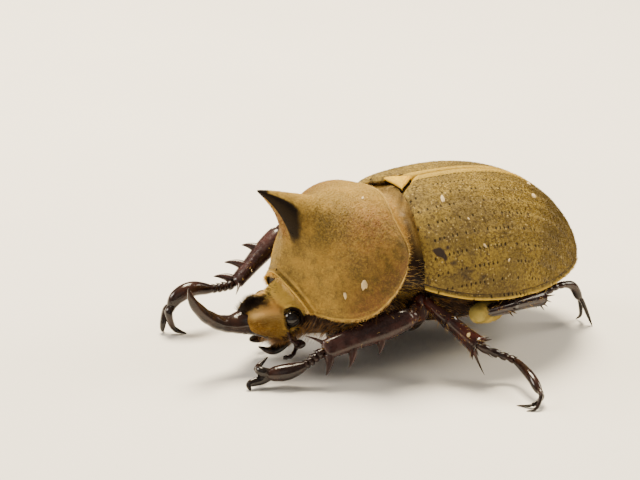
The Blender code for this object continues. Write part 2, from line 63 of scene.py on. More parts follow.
# ---- curves and grids
def spline(*knots):
    """A smooth function through a few (station, value) knots; works on arrays."""
    t0, v0 = np.array(knots, float).T
    low = np.maximum(np.arange(len(knots)) - 1, 0)
    high = np.minimum(np.arange(len(knots)) + 1, len(knots) - 1)
    slope = (v0[high] - v0[low]) / (t0[high] - t0[low])

    def value(t):
        t = np.asarray(t, float)
        i = np.clip(np.searchsorted(t0, t, side="left") - 1, 0, len(knots) - 2)
        h = t0[i + 1] - t0[i]
        u = np.clip((t - t0[i]) / h, 0, 1)
        ends = v0[i] * (1 + 2 * u) * (1 - u) ** 2 + v0[i + 1] * u * u * (3 - 2 * u)
        return ends + h * u * (1 - u) * (slope[i] * (1 - u) - slope[i + 1] * u)

    return value


def splines(*rows):
    """One smooth function for each column; the first column holds the stations."""
    station, *columns = np.array(rows, float).T
    return [spline(*zip(station, column)) for column in columns]


def curved(points, count):
    """Points along a smooth line through a few knots."""
    knots = np.array(points, float)
    at = np.linspace(0, len(knots) - 1, count)
    return np.stack([spline(*enumerate(knots[:, a]))(at) for a in range(3)], 1)


def unit(v):
    v = np.asarray(v, float)
    return v / np.maximum(np.linalg.norm(v, axis=-1, keepdims=True), 1e-9)


def ease(t, low, high):
    """0 below low, 1 above high, smooth in between."""
    u = np.clip((np.asarray(t, float) - low) / (high - low), 0, 1)
    return u * u * (3 - 2 * u)


def fade(t, low, high):
    """1 below low, 0 above high, smooth in between."""
    return 1 - ease(t, low, high)


def bell(t, centre, width):
    return np.exp(-(((np.asarray(t, float) - centre) / width) ** 2))


def ridges(distance, rows):
    """Sum of beads and grooves, each a (height, middle, width)."""
    return sum(height * bell(distance, middle, width) for height, middle, width in rows)


def grid_normals(p):
    return unit(np.cross(np.gradient(p, axis=1), np.gradient(p, axis=0)))


def arc(p, axis):
    """Length along a grid axis, in mm, from its first line."""
    step = np.linalg.norm(np.diff(p, axis=axis), axis=2)
    zero = np.zeros_like(np.take(step, [0], axis=axis))
    return np.concatenate([zero, np.cumsum(step, axis=axis)], axis=axis)


def unwrap(p):
    """A grid's own flat map, 0 to 1 both ways."""
    rows, columns = p.shape[:2]
    return np.stack(np.meshgrid(np.linspace(0, 1, rows), np.linspace(0, 1, columns), indexing="ij"), -1)


def paint(red, green=0.0, blue=0.0):
    """The marks that steer a finish, one for each point."""
    return np.stack(np.broadcast_arrays(red, green, blue, 1.0), -1)


def quads(rows, columns, wrap=False, start=0):
    i, j = np.meshgrid(np.arange(rows - 1), np.arange(columns if wrap else columns - 1), indexing="ij")
    k = (j + 1) % columns
    a = np.stack([i * columns + j, i * columns + k, (i + 1) * columns + k, (i + 1) * columns + j], 2)
    return (a.reshape(-1, 4) + start).tolist()


def ring_faces(rows, columns, flip=False):
    """Faces over a stack of rings, closed at both ends."""
    faces = quads(rows, columns, True)
    faces += [list(range(columns))[::-1], list(range((rows - 1) * columns, rows * columns))]
    return [f[::-1] for f in faces] if flip else faces


def make(name, points, faces, finish, nodes=(), marks=None, flow=None, smooth=True):
    """One piece of the model, riding on the body, in place of CAD nodes."""
    mesh = bpy.data.meshes.new(name)
    mesh.from_pydata(place(points).tolist(), [], faces)
    if marks is not None:
        layer = mesh.color_attributes.new("marks", "FLOAT_COLOR", "POINT")
        layer.data.foreach_set("color", np.asarray(marks, np.float32).ravel())
    if flow is not None:
        corner = np.zeros(len(mesh.loops), np.int32)
        mesh.loops.foreach_get("vertex_index", corner)
        layer = mesh.uv_layers.new(name="flow")
        layer.data.foreach_set("uv", np.asarray(flow, np.float32)[corner].ravel())
    mesh.polygons.foreach_set("use_smooth", [smooth] * len(mesh.polygons))
    mesh.materials.append(finish)
    mesh.update()
    obj = bpy.data.objects.new(name, mesh)
    bpy.context.scene.collection.objects.link(obj)
    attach(obj, "root")
    if nodes:
        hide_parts(*nodes)
    return obj


def tubular(name, p, finish, nodes, marks, flip=False):
    """A closed skin over a grid of rings."""
    return make(name, p, ring_faces(*p.shape[:2], flip), finish, nodes, marks, None)


def plate(name, p, thick, finish, nodes, marks, flow):
    """A closed shell under a fine grid of points; its inner face is black."""
    rows, columns = p.shape[:2]
    normal = grid_normals(p)
    out = np.sign((normal * (p - p.mean((0, 1)))).sum())
    inner = p - normal * out * np.broadcast_to(thick, p.shape[:2])[..., None]
    n = rows * columns
    faces = quads(rows, columns)
    faces += [f[::-1] for f in quads(rows, columns, start=n)]
    rim = [(0, j) for j in range(columns - 1)] + [(i, columns - 1) for i in range(rows - 1)]
    rim += [(rows - 1, j) for j in range(columns - 1, 0, -1)] + [(i, 0) for i in range(rows - 1, 0, -1)]
    ids = [i * columns + j for i, j in rim]
    faces += [[b, a, a + n, b + n] for a, b in zip(ids, ids[1:] + ids[:1])]
    if out < 0:
        faces = [f[::-1] for f in faces]
    points = np.stack([p, inner])
    marks = np.concatenate([marks.reshape(n, 4), paint(np.ones(n))])
    return make(name, points, faces, finish, nodes, marks, np.concatenate([flow.reshape(n, 2)] * 2))


class Bundle:
    """Many bodies joined into one mesh."""

    def __init__(self):
        self.points, self.faces = [], []
        self.count = 0

    def put(self, points, faces):
        points = np.asarray(points, float).reshape(-1, 3)
        self.points.append(points)
        self.faces += [[i + self.count for i in f] for f in faces]
        self.count += len(points)
        return self

    def tube(self, path, half_out, half_up, outward=(1, 0, 0), sides=20, square=1.0):
        """A closed body along a path; half sizes are given at each point of it."""
        path = np.asarray(path, float)
        _, side, rise = frame_at(path, outward)
        a = np.linspace(0, math.tau, sides, endpoint=False)
        c, s = np.cos(a), np.sin(a)
        c, s = np.sign(c) * np.abs(c) ** square, np.sign(s) * np.abs(s) ** square
        out = np.broadcast_to(np.asarray(half_out, float), (len(path),))
        up = np.broadcast_to(np.asarray(half_up, float), (len(path),))
        rings = (path[:, None] + side[:, None] * (out[:, None] * c)[..., None]
                 + rise[:, None] * (up[:, None] * s)[..., None])
        return self.put(rings, ring_faces(len(path), sides, True))

    def spike(self, root, tip, width, bow=(0, 0, 0), sides=8, count=7):
        """A tapering spine or thorn, bowed off its straight line."""
        root, tip, bow = np.asarray(root, float), np.asarray(tip, float), np.asarray(bow, float)
        t = np.linspace(0, 1, count)
        path = root + (tip - root) * t[:, None] + bow * (4 * t * (1 - t))[:, None]
        size = width * (1 - 0.9 * t ** 1.4)
        across = (0, 0, 1) if abs(unit(tip - root)[2]) < 0.8 else (1, 0, 0)
        return self.tube(path, size, size, across, sides)

    def done(self, name, finish, nodes=(), slot=None):
        points = np.concatenate(self.points)
        return make(name, points, self.faces, finish, nodes, paint(np.zeros(len(points))), None)


def frame_at(path, outward):
    """Directions along, across and up from a path, with across nearest to outward."""
    along = unit(np.gradient(path, axis=0))
    rise = unit(np.cross(along, outward))
    return along, unit(np.cross(rise, along)), rise


# ---- materials
OCHRE, GOLD, OLIVE = (0.375, 0.228, 0.052), (0.56, 0.36, 0.072), (0.142, 0.100, 0.036)
RUST_AND_SIDE_SHADE, SOOT, PALE_AND_HIGHLIGHT = (0.225, 0.093, 0.045), (0.012, 0.009, 0.008), (0.68, 0.45, 0.10)
CASE_DARK, CASE_LIGHT, CASE_WORN = (0.205, 0.146, 0.046), (0.375, 0.260, 0.055), (0.082, 0.057, 0.028)
FURROW_SHADE, CASE_BAND, CASE_STAIN = (0.11, 0.075, 0.03), (0.56, 0.385, 0.068), (0.045, 0.034, 0.03)
CASE_GRAIN = (0.70, 0.53, 0.22)
CHEEK_DARK, CHEEK_LIGHT, CHEEK_GOLD = (0.130, 0.060, 0.009), (0.235, 0.125, 0.020), (0.50, 0.31, 0.07)
NECK_YELLOW, CREAM_HIGHLIGHT, HEAD_BLACK = (0.64, 0.45, 0.10), (0.68, 0.48, 0.19), (0.016, 0.010, 0.008)
DUST, SHORT_HAIR, HAIR_END = (0.10, 0.055, 0.028), (0.20, 0.115, 0.028), (0.60, 0.40, 0.12)
GLINT = (1.0, 0.74, 0.36, 1)
VELVET_ROUGH = 0.6


class Finish:
    """A Principled material whose node tree is written in a few calls."""

    def __init__(self, name, **fixed):
        self.material = bpy.data.materials.new(name)
        self.material.use_nodes = True
        self.tree = self.material.node_tree
        self.shader = self.tree.nodes["Principled BSDF"]
        for key, value in fixed.items():
            self.shader.inputs[key.replace("_", " ")].default_value = value
        self.place = self.node("TexCoord", {}, "Object")
        mark = self.node("Attribute", {"attribute_name": "marks"}, "Color")
        parts = self.tree.nodes.new("ShaderNodeSeparateColor")
        self.tree.links.new(mark, parts.inputs[0])
        self.red, self.green, self.blue = parts.outputs[0], parts.outputs[1], parts.outputs[2]

    def feed(self, socket, value):
        if isinstance(value, bpy.types.NodeSocket):
            self.tree.links.new(value, socket)
        elif value is not None:
            socket.default_value = value

    def node(self, kind, settings, output, **inputs):
        made = self.tree.nodes.new("ShaderNode" + kind)
        for key, value in settings.items():
            setattr(made, key, value)
        for key, value in inputs.items():
            self.feed(made.inputs[key.replace("_", " ")], value)
        return made.outputs[output]

    def filled(self, kind, key, choice, values):
        """The result of a node with one setting, whose first inputs take the values."""
        made = self.tree.nodes.new("ShaderNode" + kind)
        setattr(made, key, choice)
        for socket, value in zip(made.inputs, values):
            self.feed(socket, value)
        return made.outputs[0]

    def math(self, operation, a, b=None, c=None):
        return self.filled("Math", "operation", operation, (a, b, c))

    def times(self, a, b):
        return self.math("MULTIPLY", a, b)

    def between(self, factor, first, second):
        """A number that runs from first to second with the factor."""
        return self.math("MULTIPLY_ADD", factor, second - first, first)

    def scaled(self, vector, factors):
        return self.node("Mapping", {}, "Vector", Vector=vector, Scale=factors)

    def noise(self, per_mm, detail=3.0, rough=0.55, vector=None):
        return self.node("TexNoise", {}, "Fac", Vector=vector or self.place, Scale=per_mm / MM,
                         Detail=detail, Roughness=rough)

    def grain(self, per_mm, stretch):
        """Fine relief of short hairs, drawn out along the body."""
        return self.noise(per_mm, 3, 0.6, self.scaled(self.place, (1.0, stretch, 1.0)))

    def cells(self, per_mm):
        return self.node("TexVoronoi", {}, "Distance", Vector=self.place, Scale=per_mm / MM)

    def range(self, value, low, high, to_low=0.0, to_high=1.0):
        values = (value, low, high, to_low, to_high)
        return self.filled("MapRange", "interpolation_type", "SMOOTHSTEP", values)

    def mix(self, factor, a, b):
        made = self.tree.nodes.new("ShaderNodeMix")
        made.data_type = "RGBA"
        for socket, value in ((made.inputs[0], factor), (made.inputs[6], a), (made.inputs[7], b)):
            self.feed(socket, (*value, 1.0) if isinstance(value, tuple) and len(value) == 3 else value)
        return made.outputs[2]

    def bump(self, height, depth_mm, strength=1.0, below=None):
        return self.node("Bump", {}, "Normal", Strength=strength, Distance=depth_mm * MM, Height=height,
                         Normal=below)

    def end(self, colour=None, roughness=None, normal=None):
        self.feed(self.shader.inputs["Base Color"], colour)
        self.feed(self.shader.inputs["Roughness"], roughness)
        self.feed(self.shader.inputs["Normal"], normal)
        return self.material


def velvet(name):
    return Finish(name, Specular_IOR_Level=0.08, Specular_Tint=GLINT, Diffuse_Roughness=0.6)


def velvet_pronotum():
    """Olive-ochre pile; marks: red = bare black and painted shade on the low sides, green = pale rim and a
    painted highlight over the top, blue = rusty centre and painted shade low on the sides.
    """
    f = velvet("velvet_pronotum")
    broad, mid, fine = f.noise(0.15, 4), f.noise(0.75, 4, 0.6), f.noise(3.4, 4, 0.65)
    colour = f.mix(f.range(broad, 0.34, 0.66), OLIVE, OCHRE)
    colour = f.mix(f.times(f.blue, f.range(broad, 0.2, 0.7, 0.55, 1.0)), colour, RUST_AND_SIDE_SHADE)
    colour = f.mix(f.range(mid, 0.42, 0.66, 0.0, 0.6), colour, OLIVE)
    colour = f.mix(f.range(fine, 0.42, 0.72, 0.0, 0.5), colour, GOLD)
    speck = f.range(f.cells(1.1), 0.05, 0.16, 0.6, 0.0)
    rare = f.range(f.noise(0.5, 2), 0.55, 0.62)
    colour = f.mix(f.times(speck, rare), colour, SOOT)
    # Pale rim, and on the pronotum also a painted highlight over the top.
    colour = f.mix(f.green, colour, PALE_AND_HIGHLIGHT)
    bare = f.range(f.math("ADD", f.red, f.times(mid, 0.28)), 0.36, 0.92)
    colour = f.mix(bare, colour, SOOT)
    normal = f.bump(f.grain(7.0, 0.45), 0.05, 0.55, f.bump(mid, 0.14, 0.35))
    return f.end(colour, f.between(bare, VELVET_ROUGH, 0.3), normal)


DOTS_PER_MM, DOT_CORE, DOT_EDGE, ROW_WIDTH_MM = 1.35, 0.09, 0.2, 1.5


def rows_of_dots(f):
    """Strength of the pits that run in rows; flow: u counts the rows, v is mm along them."""
    split = f.tree.nodes.new("ShaderNodeSeparateXYZ")
    f.feed(split.inputs[0], f.node("UVMap", {"uv_map": "flow"}, "UV"))
    row, along = split.outputs[0], split.outputs[1]
    line = f.math("ROUND", row)
    jitter = f.node("TexWhiteNoise", {"noise_dimensions": "1D"}, "Value", W=line)
    across = f.times(f.math("SUBTRACT", row, line), ROW_WIDTH_MM)
    step = f.math("ADD", f.times(along, DOTS_PER_MM), f.times(jitter, 7.0))
    lengthwise = f.math("DIVIDE", f.math("SUBTRACT", step, f.math("ROUND", step)), DOTS_PER_MM)
    far = f.math("SQRT", f.math("ADD", f.times(across, across), f.times(lengthwise, lengthwise)))
    place_of_dot = f.node("CombineXYZ", {}, "Vector", X=line, Y=f.math("ROUND", step))
    keep = f.node("TexWhiteNoise", {"noise_dimensions": "2D"}, "Value", Vector=place_of_dot)
    beside_band = f.range(f.math("ABSOLUTE", line), 0.5, 1.5, 1.0, 0.0)
    keep = f.range(f.math("ADD", keep, beside_band), 0.35, 0.5)
    keep = f.times(keep, f.range(row, -0.6, -0.4))
    far = f.times(far, f.between(beside_band, 1.0, 0.6))
    return f.times(f.range(far, DOT_CORE, DOT_EDGE, 1.0, 0.0), keep)


def velvet_elytron():
    """Olive-gold pile worn to dark dots; marks: red = bare, green = smooth pale, blue = wrinkles, with
    painted shade in their furrows.
    """
    f = velvet("velvet_elytron")
    broad, mid, fine = f.noise(0.14, 4), f.noise(0.6, 4), f.noise(2.3, 5, 0.8)
    furry = f.math("SUBTRACT", 1.0, f.green)
    colour = f.mix(f.range(broad, 0.36, 0.64), CASE_DARK, CASE_LIGHT)
    worn = f.times(f.range(fine, 0.45, 0.57), f.range(mid, 0.3, 0.6, 0.5, 0.95))
    colour = f.mix(f.times(worn, furry), colour, CASE_WORN)
    ribs = f.noise(1.3, 2, 0.5, f.scaled(f.place, (0.3, 1.6, 0.3)))
    # Painted shade: the furrows between the wrinkle ribs are darkened.
    shaded = f.times(f.range(ribs, 0.42, 0.58, 0.75, 0.0), f.blue)
    colour = f.mix(f.times(shaded, furry), colour, FURROW_SHADE)
    grains = f.range(f.cells(1.6), 0.08, 0.3, 0.7, 0.0)
    colour = f.mix(f.times(grains, f.range(mid, 0.42, 0.58)), colour, CASE_GRAIN)
    colour = f.mix(f.green, colour, CASE_BAND)
    dot = rows_of_dots(f)
    colour = f.mix(f.times(dot, 0.9), colour, SOOT)
    bare = f.range(f.math("ADD", f.red, f.times(mid, 0.4)), 0.55, 0.85)
    colour = f.mix(bare, colour, CASE_STAIN)
    normal = f.bump(f.grain(6.0, 0.5), 0.05, 0.5, f.bump(fine, 0.16, 0.5))
    normal = f.bump(f.times(ribs, f.blue), 0.35, 0.8, normal)
    normal = f.bump(dot, -0.12, 0.8, normal)
    return f.end(colour, f.between(bare, VELVET_ROUGH, 0.4), normal)


def velvet_plain(name, dark, light, rough=0.62):
    """Pile of one colour family, for the scutellum and the hind femora."""
    f = velvet(name)
    f.shader.inputs["Roughness"].default_value = rough
    colour = f.mix(f.range(f.noise(0.5, 4), 0.35, 0.65), dark, light)
    colour = f.mix(f.range(f.noise(3.0, 3), 0.5, 0.75, 0.0, 0.4), colour, PALE_AND_HIGHLIGHT)
    colour = f.mix(f.green, colour, PALE_AND_HIGHLIGHT)
    bare = f.range(f.math("ADD", f.red, f.times(f.noise(1.5, 3), 0.4)), 0.5, 0.85)
    colour = f.mix(bare, colour, SOOT)
    return f.end(colour, None, f.bump(f.grain(7.0, 0.4), 0.06, 0.6))


def velvet_head():
    """Golden-brown pile in front; marks: red = black shell, green = pale ring and a painted highlight on the
    upper side, blue = yellow neck.
    """
    f = velvet("velvet_head")
    fine = f.noise(2.2, 4, 0.6)
    colour = f.mix(f.range(f.noise(0.5, 4), 0.35, 0.65), CHEEK_DARK, CHEEK_LIGHT)
    colour = f.mix(f.blue, colour, NECK_YELLOW)
    colour = f.mix(f.range(fine, 0.5, 0.7, 0.0, 0.3), colour, CHEEK_GOLD)
    colour = f.mix(f.green, colour, CREAM_HIGHLIGHT)
    bare = f.range(f.math("ADD", f.red, f.times(fine, 0.5)), 0.55, 0.95)
    colour = f.mix(bare, colour, HEAD_BLACK)
    return f.end(colour, f.between(bare, VELVET_ROUGH, 0.28), f.bump(f.noise(6.0, 3, 0.6), 0.08, 0.6))


def chitin(name, dark, light, rough=0.2, pits=0.5, dusty=0.2):
    """Shell with fine pits and a faint uneven relief; marks: green = covered in short golden hair."""
    shine, coat = (0.26, 0.15) if dusty < 0.5 else (0.12, 0.0)
    f = Finish(name, Specular_IOR_Level=shine, Coat_Weight=coat, Coat_Roughness=0.06)
    colour = f.mix(f.range(f.noise(0.35, 4), 0.4, 0.7), dark, light)
    dust = f.times(f.range(f.noise(1.3, 5, 0.7), 0.6, 0.74), dusty)
    colour = f.mix(dust, colour, DUST)
    hair = f.range(f.noise(5.0, 3), 0.35, 0.65, 0.35, 1.0)
    colour = f.mix(f.green, colour, f.mix(hair, SHORT_HAIR, HAIR_END))
    hollow = f.range(f.cells(1.5), 0.08, 0.3, 0.0, 1.0)
    normal = f.bump(hollow, 0.06 * pits, 0.6, f.bump(f.noise(0.8, 4), 0.12, 0.35))
    roughness = f.range(f.noise(1.2, 4), 0.35, 0.7, rough * 0.7, rough * 1.7)
    return f.end(colour, f.math("ADD", roughness, f.times(f.green, 0.4)), normal)


def hair_finish(name, colour, tip, rough=0.42):
    f = Finish(name, Specular_IOR_Level=0.5, Roughness=rough)
    return f.end(f.mix(f.range(f.noise(1.1, 2), 0.3, 0.7), colour, tip))


# ---- the shape's own functions
# along the wing cases (y): half width, height of the middle line, height of the margin
HALF_WIDTH = spline((-6.2, 12.6), (-2, 14.8), (4, 16.4), (9, 16.8), (16, 15.4), (22, 12.4), (26.5, 8.6),
                    (29.2, 4.4), (30.2, 1.6))
CREST = spline((-6.2, 24.6), (-2, 25.6), (5, 26.0), (11, 25.7), (17, 24.5), (22.5, 21.6), (26.5, 17.4),
               (29.2, 12.9), (30.2, 10.3))
MARGIN = spline((-6.2, 12.6), (2, 10.8), (12, 10.4), (20, 10.6), (27, 10.7), (30.2, 9.7))
BASE_EDGE = spline((0, -0.35), (0.5, -0.9), (2.7, -3.9), (4.5, -4.4), (9, -5.2), (13, -5.3), (17, -4.2))
ELYTRA_END, ELYTRA_HALF_BASE, SQUARENESS = 30.15, 13.0, 0.9
HORN_ROOT, HORN_TIP = np.array((0, -20.7, 20.7)), np.array((0, -27.75, 27.0))
HORN_SPREAD, HORN_ROUND, HORN_REACH_FALL, HORN_RISE_FALL = 9.0, 0.25, 4.5, 2.4
# along the pronotum, 0 at its rear and 1 at its front: the margin and the line over its middle
SIDE_X, SIDE_Y, SIDE_Z = splines(
    (0, 12.7, -8.9, 17.4), (0.12, 13.9, -9.9, 16.0), (0.3, 14.4, -12.0, 13.2), (0.5, 13.4, -15.0, 10.2),
    (0.75, 10.7, -18.2, 8.9), (1, 6.2, -21.3, 8.8))
TOP_Y, TOP_Z = splines(
    (0, -7.1, 24.6), (0.15, -9.4, 25.1), (0.4, -14.6, 24.5), (0.6, -18.3, 22.6), (0.75, -20.9, 20.4),
    (0.88, -22.4, 17.1), (1, -24.1, 13.3))
PEAK = spline((0, SQUARENESS), (0.3, SQUARENESS), (0.58, 1.15), (0.85, 1.4), (1, 1.4))
REAR_BOW = 1.6


def dome(y, turn, inset=0.0):
    """The arch of body and wing cases; turn is the angle off the top."""
    rise = np.maximum(np.cos(turn), 0.0) ** SQUARENESS
    x = (HALF_WIDTH(y) - inset) * np.sin(turn) ** SQUARENESS
    return np.stack(np.broadcast_arrays(x, y, MARGIN(y) + (CREST(y) - inset - MARGIN(y)) * rise), -1)


def pronotum_base(s, turn):
    """The pronotum without its horn; turn runs from the right margin (-90 degrees) to the left."""
    rise = np.maximum(np.cos(turn), 0.0) ** PEAK(s)
    bow = REAR_BOW * np.sin(2 * turn) ** 2 * (1 - s) ** 3
    return np.stack([
        np.sign(turn) * np.abs(np.sin(turn)) ** PEAK(s) * SIDE_X(s),
        SIDE_Y(s) + (TOP_Y(s) - SIDE_Y(s)) * rise - bow,
        SIDE_Z(s) + (TOP_Z(s) - SIDE_Z(s)) * rise,
    ], -1)


def horned(p):
    """The skin around the horn's root, drawn up and forward into a hooked point."""
    away = np.sqrt(((p - HORN_ROOT) ** 2).sum(-1) + HORN_ROUND ** 2) - HORN_ROUND
    near = np.maximum(1 - away / HORN_SPREAD, 0.0)
    pull = HORN_TIP - HORN_ROOT
    return p + np.stack([0 * near, pull[1] * near ** HORN_REACH_FALL, pull[2] * near ** HORN_RISE_FALL], -1)


# ---- pronotum
PRONOTUM_ROWS, PRONOTUM_COLUMNS, LEVEL_ROW = 150, 191, 60  # the skin faces up at the level row
HORN_ROWS, HORN_STRETCH = 50, (0.66, 0.84)  # extra rows where the skin is drawn out most
RIM_RELIEF = ((0.10, 0.16, 0.18), (-0.10, 0.55, 0.2))
FRONT_RELIEF = ((0.16, 0.2, 0.2), (-0.14, 0.75, 0.22), (0.08, 1.25, 0.25))
BARE_REACH = spline((40, 2.0), (65, 2.6), (84, 3.3), (108, 4.7), (130, 3.9), (180, 3.0))
SHELL_THICK, EDGE_THICK, TIP_THICK = 0.70, 0.12, 0.02


def pronotum_turns():
    a = np.linspace(-1, 1, PRONOTUM_COLUMNS)
    return QUARTER_TURN * np.sign(a) * np.abs(a) ** 1.25


def pronotum_marks(s, turn, base, height, front, side, rear):
    """Bare black flanks of the horn, painted shade on the low sides, pale rims with a painted highlight over
    the top, and rusty patches, partly painted shade.
    """
    away = base - HORN_ROOT
    r = np.linalg.norm(away, axis=-1)
    angle = np.degrees(np.arctan2(np.abs(away[..., 0]), away[..., 1]))
    low_side = np.abs(turn)
    flank = ease(angle, 50, 76) * fade(angle, 122, 138) * ease(r, 0.3, 0.6)
    share = r / BARE_REACH(angle)
    bare = np.maximum.reduce([
        flank * fade(share, 0.45, 1.5),
        fade(r, 0.35, 0.9),
        0.46 * flank * fade(share, 0.9, 2.1),
        0.45 * bell(rear, 0.5, 0.17),
        # Painted shade: the low sides of the pronotum are darkened toward black.
        0.44 * ease(low_side, 0.6, 1.15) * fade(s, 0.7, 0.9) * ease(side, 0.3, 1.2),
    ])
    rim = 0.8 * fade(front, 0.1, 0.26) + 0.5 * fade(side, 0.1, 0.3) + 0.35 * fade(rear, 0.1, 0.3)
    # Painted highlight, with partly paler pile: the pale mark also covers the top of the pronotum.
    rim = np.clip(rim, 0.26 * ease(height, 22.5, 25.5), 1.0)
    rust_and_side_shade = np.maximum.reduce([
        0.85 * bell(np.abs(base[..., 0]), 8.5, 4.5) * bell(base[..., 1], -12.5, 4.2),
        # Painted shade, partly rust: the low sides toward the rear are tinted dark red-brown.
        0.8 * ease(low_side, 1.0, 1.45) * fade(s, 0.55, 0.8),
        0.95 * ease(angle, 122, 140) * fade(r, 2.6, 4.6),
    ])
    return paint(bare, rim, rust_and_side_shade), r


def pronotum():
    s = np.linspace(0, 1, PRONOTUM_ROWS)
    s = np.sort(np.concatenate([s, np.linspace(*HORN_STRETCH, HORN_ROWS)]))
    s, turn = np.meshgrid(s, pronotum_turns(), indexing="ij")
    base = pronotum_base(s, turn)
    p = horned(base)
    normal = grid_normals(p)
    normal *= np.sign(normal[LEVEL_ROW, PRONOTUM_COLUMNS // 2, 2])
    rear, across = arc(p, 0), arc(p, 1)
    front = rear[-1] - rear
    side = np.minimum(across, across[:, -1:] - across)
    edge = np.minimum(np.minimum(front, side), rear * 1.4)
    waves = 0.06 * np.sin(base[..., 0] * 0.55 + 1.1) * np.sin(base[..., 1] * 0.6)
    p = p + normal * (ridges(edge, RIM_RELIEF) + ridges(front, FRONT_RELIEF) + waves)[..., None]
    marks, r = pronotum_marks(s, turn, base, p[..., 2], front, side, rear)
    flow = np.stack([s, turn / math.pi + 0.5], -1)
    full = EDGE_THICK + (1 - EDGE_THICK) * ease(edge, 0.2, 2.0)
    thick = TIP_THICK + (SHELL_THICK - TIP_THICK) * ease(r, 0.3, 4.0) * full
    finish = velvet_pronotum()
    plate("pronotum_shell", p, thick, finish, ["pronotum", "pronotum_horn"], marks, flow)
    return p, normal, marks, flow, finish, "velvet"


# ---- wing cases
SHOULDER = math.radians(64)
SEAM_RELIEF, RIM_BEAD = ((0.10, 0.55, 0.5),), ((0.2, 0.25, 0.28), (-0.24, 0.85, 0.24))
BAND_EDGE, BAND_GROOVE, ROW_MM = 1.75, 2.4, 2.6


def case_relief(y, turn, down, seam, rim):
    """Rounded base, bead and groove along seam and rim, the shoulder and faint ribs."""
    h = -0.55 * bell(down, 0, 0.5)
    h += ridges(seam, SEAM_RELIEF) - 0.10 * bell(seam, BAND_EDGE, 0.22) * ease(down, 2, 5)
    h -= 0.35 * fade(seam, 0.0, 0.28)
    h += ridges(rim, RIM_BEAD)
    h += 0.30 * bell(turn, SHOULDER, 0.16) * bell(y, -2.8, 2.0)
    return h + 0.05 * np.sin(turn * 22) * ease(seam, 2, 4) * ease(rim, 1.5, 3)


def case_marks(y, turn, seam, rim):
    """Dark stains near the shoulder, a pale band on the seam and rim, wrinkles to the rear, whose furrows get
    painted shade.
    """
    wave = 0.03 * np.sin(2.6 * y) + 0.02 * np.sin(5.3 * y)
    bare = np.maximum.reduce([
        1.05 * bell(turn + wave, SHOULDER, 0.07) * bell(y + 0.4 * np.sin(turn * 40), -3.3, 1.25),
        0.62 * bell(turn, math.radians(71), 0.07) * bell(y, -1.6, 1.1),
        0.5 * bell(turn, math.radians(77), 0.26) * bell(y, 0.5, 7.5) * ease(rim, 1.2, 2.5),
        0.75 * bell(rim, 0.85, 0.16),
    ])
    band = fade(seam, 1.45, BAND_EDGE) * 0.8 + 0.9 * fade(rim, 0.25, 0.5)
    return paint(bare, np.clip(band, 0, 1), ease(y, 12, 26) * ease(seam, 1.5, 3) + 0.25)


def elytra():
    """Both wing cases from one grid, mirrored for the right one."""
    travel = np.sin(np.linspace(0, QUARTER_TURN, 190)) ** 1.08
    travel, turn = np.meshgrid(travel, QUARTER_TURN * np.linspace(0, 1, 150) ** 1.05, indexing="ij")
    start = BASE_EDGE(ELYTRA_HALF_BASE * np.sin(turn))
    y = start + (ELYTRA_END - start) * travel
    p = dome(y, turn)
    p[..., 0] = np.maximum(p[..., 0], 0.05)
    middle = np.stack([0 * y, 0 * y, MARGIN(y)], -1)
    normal = unit(p * (1, 0, 1) - middle + (0, 0, 0.01))
    down, across = arc(p, 0), arc(p, 1)
    seam, rim = p[..., 0], across[:, -1:] - across
    p = p + normal * case_relief(y, turn, down, seam, rim)[..., None]
    marks = case_marks(y, turn, seam, rim)
    beyond = 1.0 + (across - across[:, :1] - BAND_GROOVE) / ROW_MM
    flow = np.stack([np.where(seam < BAND_GROOVE, seam - BAND_EDGE, beyond), down], -1)
    thick = 0.2 + 0.4 * ease(rim, 0.2, 1.5)
    finish = velvet_elytron()
    skins = {}
    for side, label in SIDES:
        out = p * (side, 1, 1)
        plate("elytron_shell_" + label, out, thick, finish, ["elytron_" + label], marks, flow)
        skins[label] = (out, normal * (side, 1, 1), marks, flow, finish, "velvet")
    return skins


# ---- scutellum and body
INSET = spline((-9, 1.55), (14, 1.6), (20, 2.2), (24, 2.6), (27, 3.2))
BELLY = spline((-9, 3.6), (2, 2.7), (9, 2.9), (20, 3.7), (29, 6.0), (33, 8.0))
FLANK = spline((-9, 7.0), (-3, 7.3), (0.5, 8.6), (4, 9.6), (9, 9.6), (14, 8.8), (20, 7.2), (25, 5.6),
               (28, 4.0))
NECK_LEAN = spline((-8.6, 0.25), (-6.6, 0.25), (-4.6, 0.1), (-3.3, 0), (30, 0))
NECK_TOP, NECK_SUNK, RINGS_END, TAIL = 24.6, 1.2, 9, 2.4
NECK_RINGS, FOLD_Y = 16, -5.6  # rings of the skin before the wing cases; where the furry fold meets it
BODY_RINGS = (-0.5, 8.7, 12.6, 15.4, 18.2, 21.0, 23.8, 26.6)
UPPER, LOWER = 61, 60  # points of a body ring above and below its edge
UPPER_TURNS = np.radians(np.linspace(-88, 88, UPPER))
REAR_LEAN, FRONT_LEAN, KEEL = 0.25, 0.18, 3.0


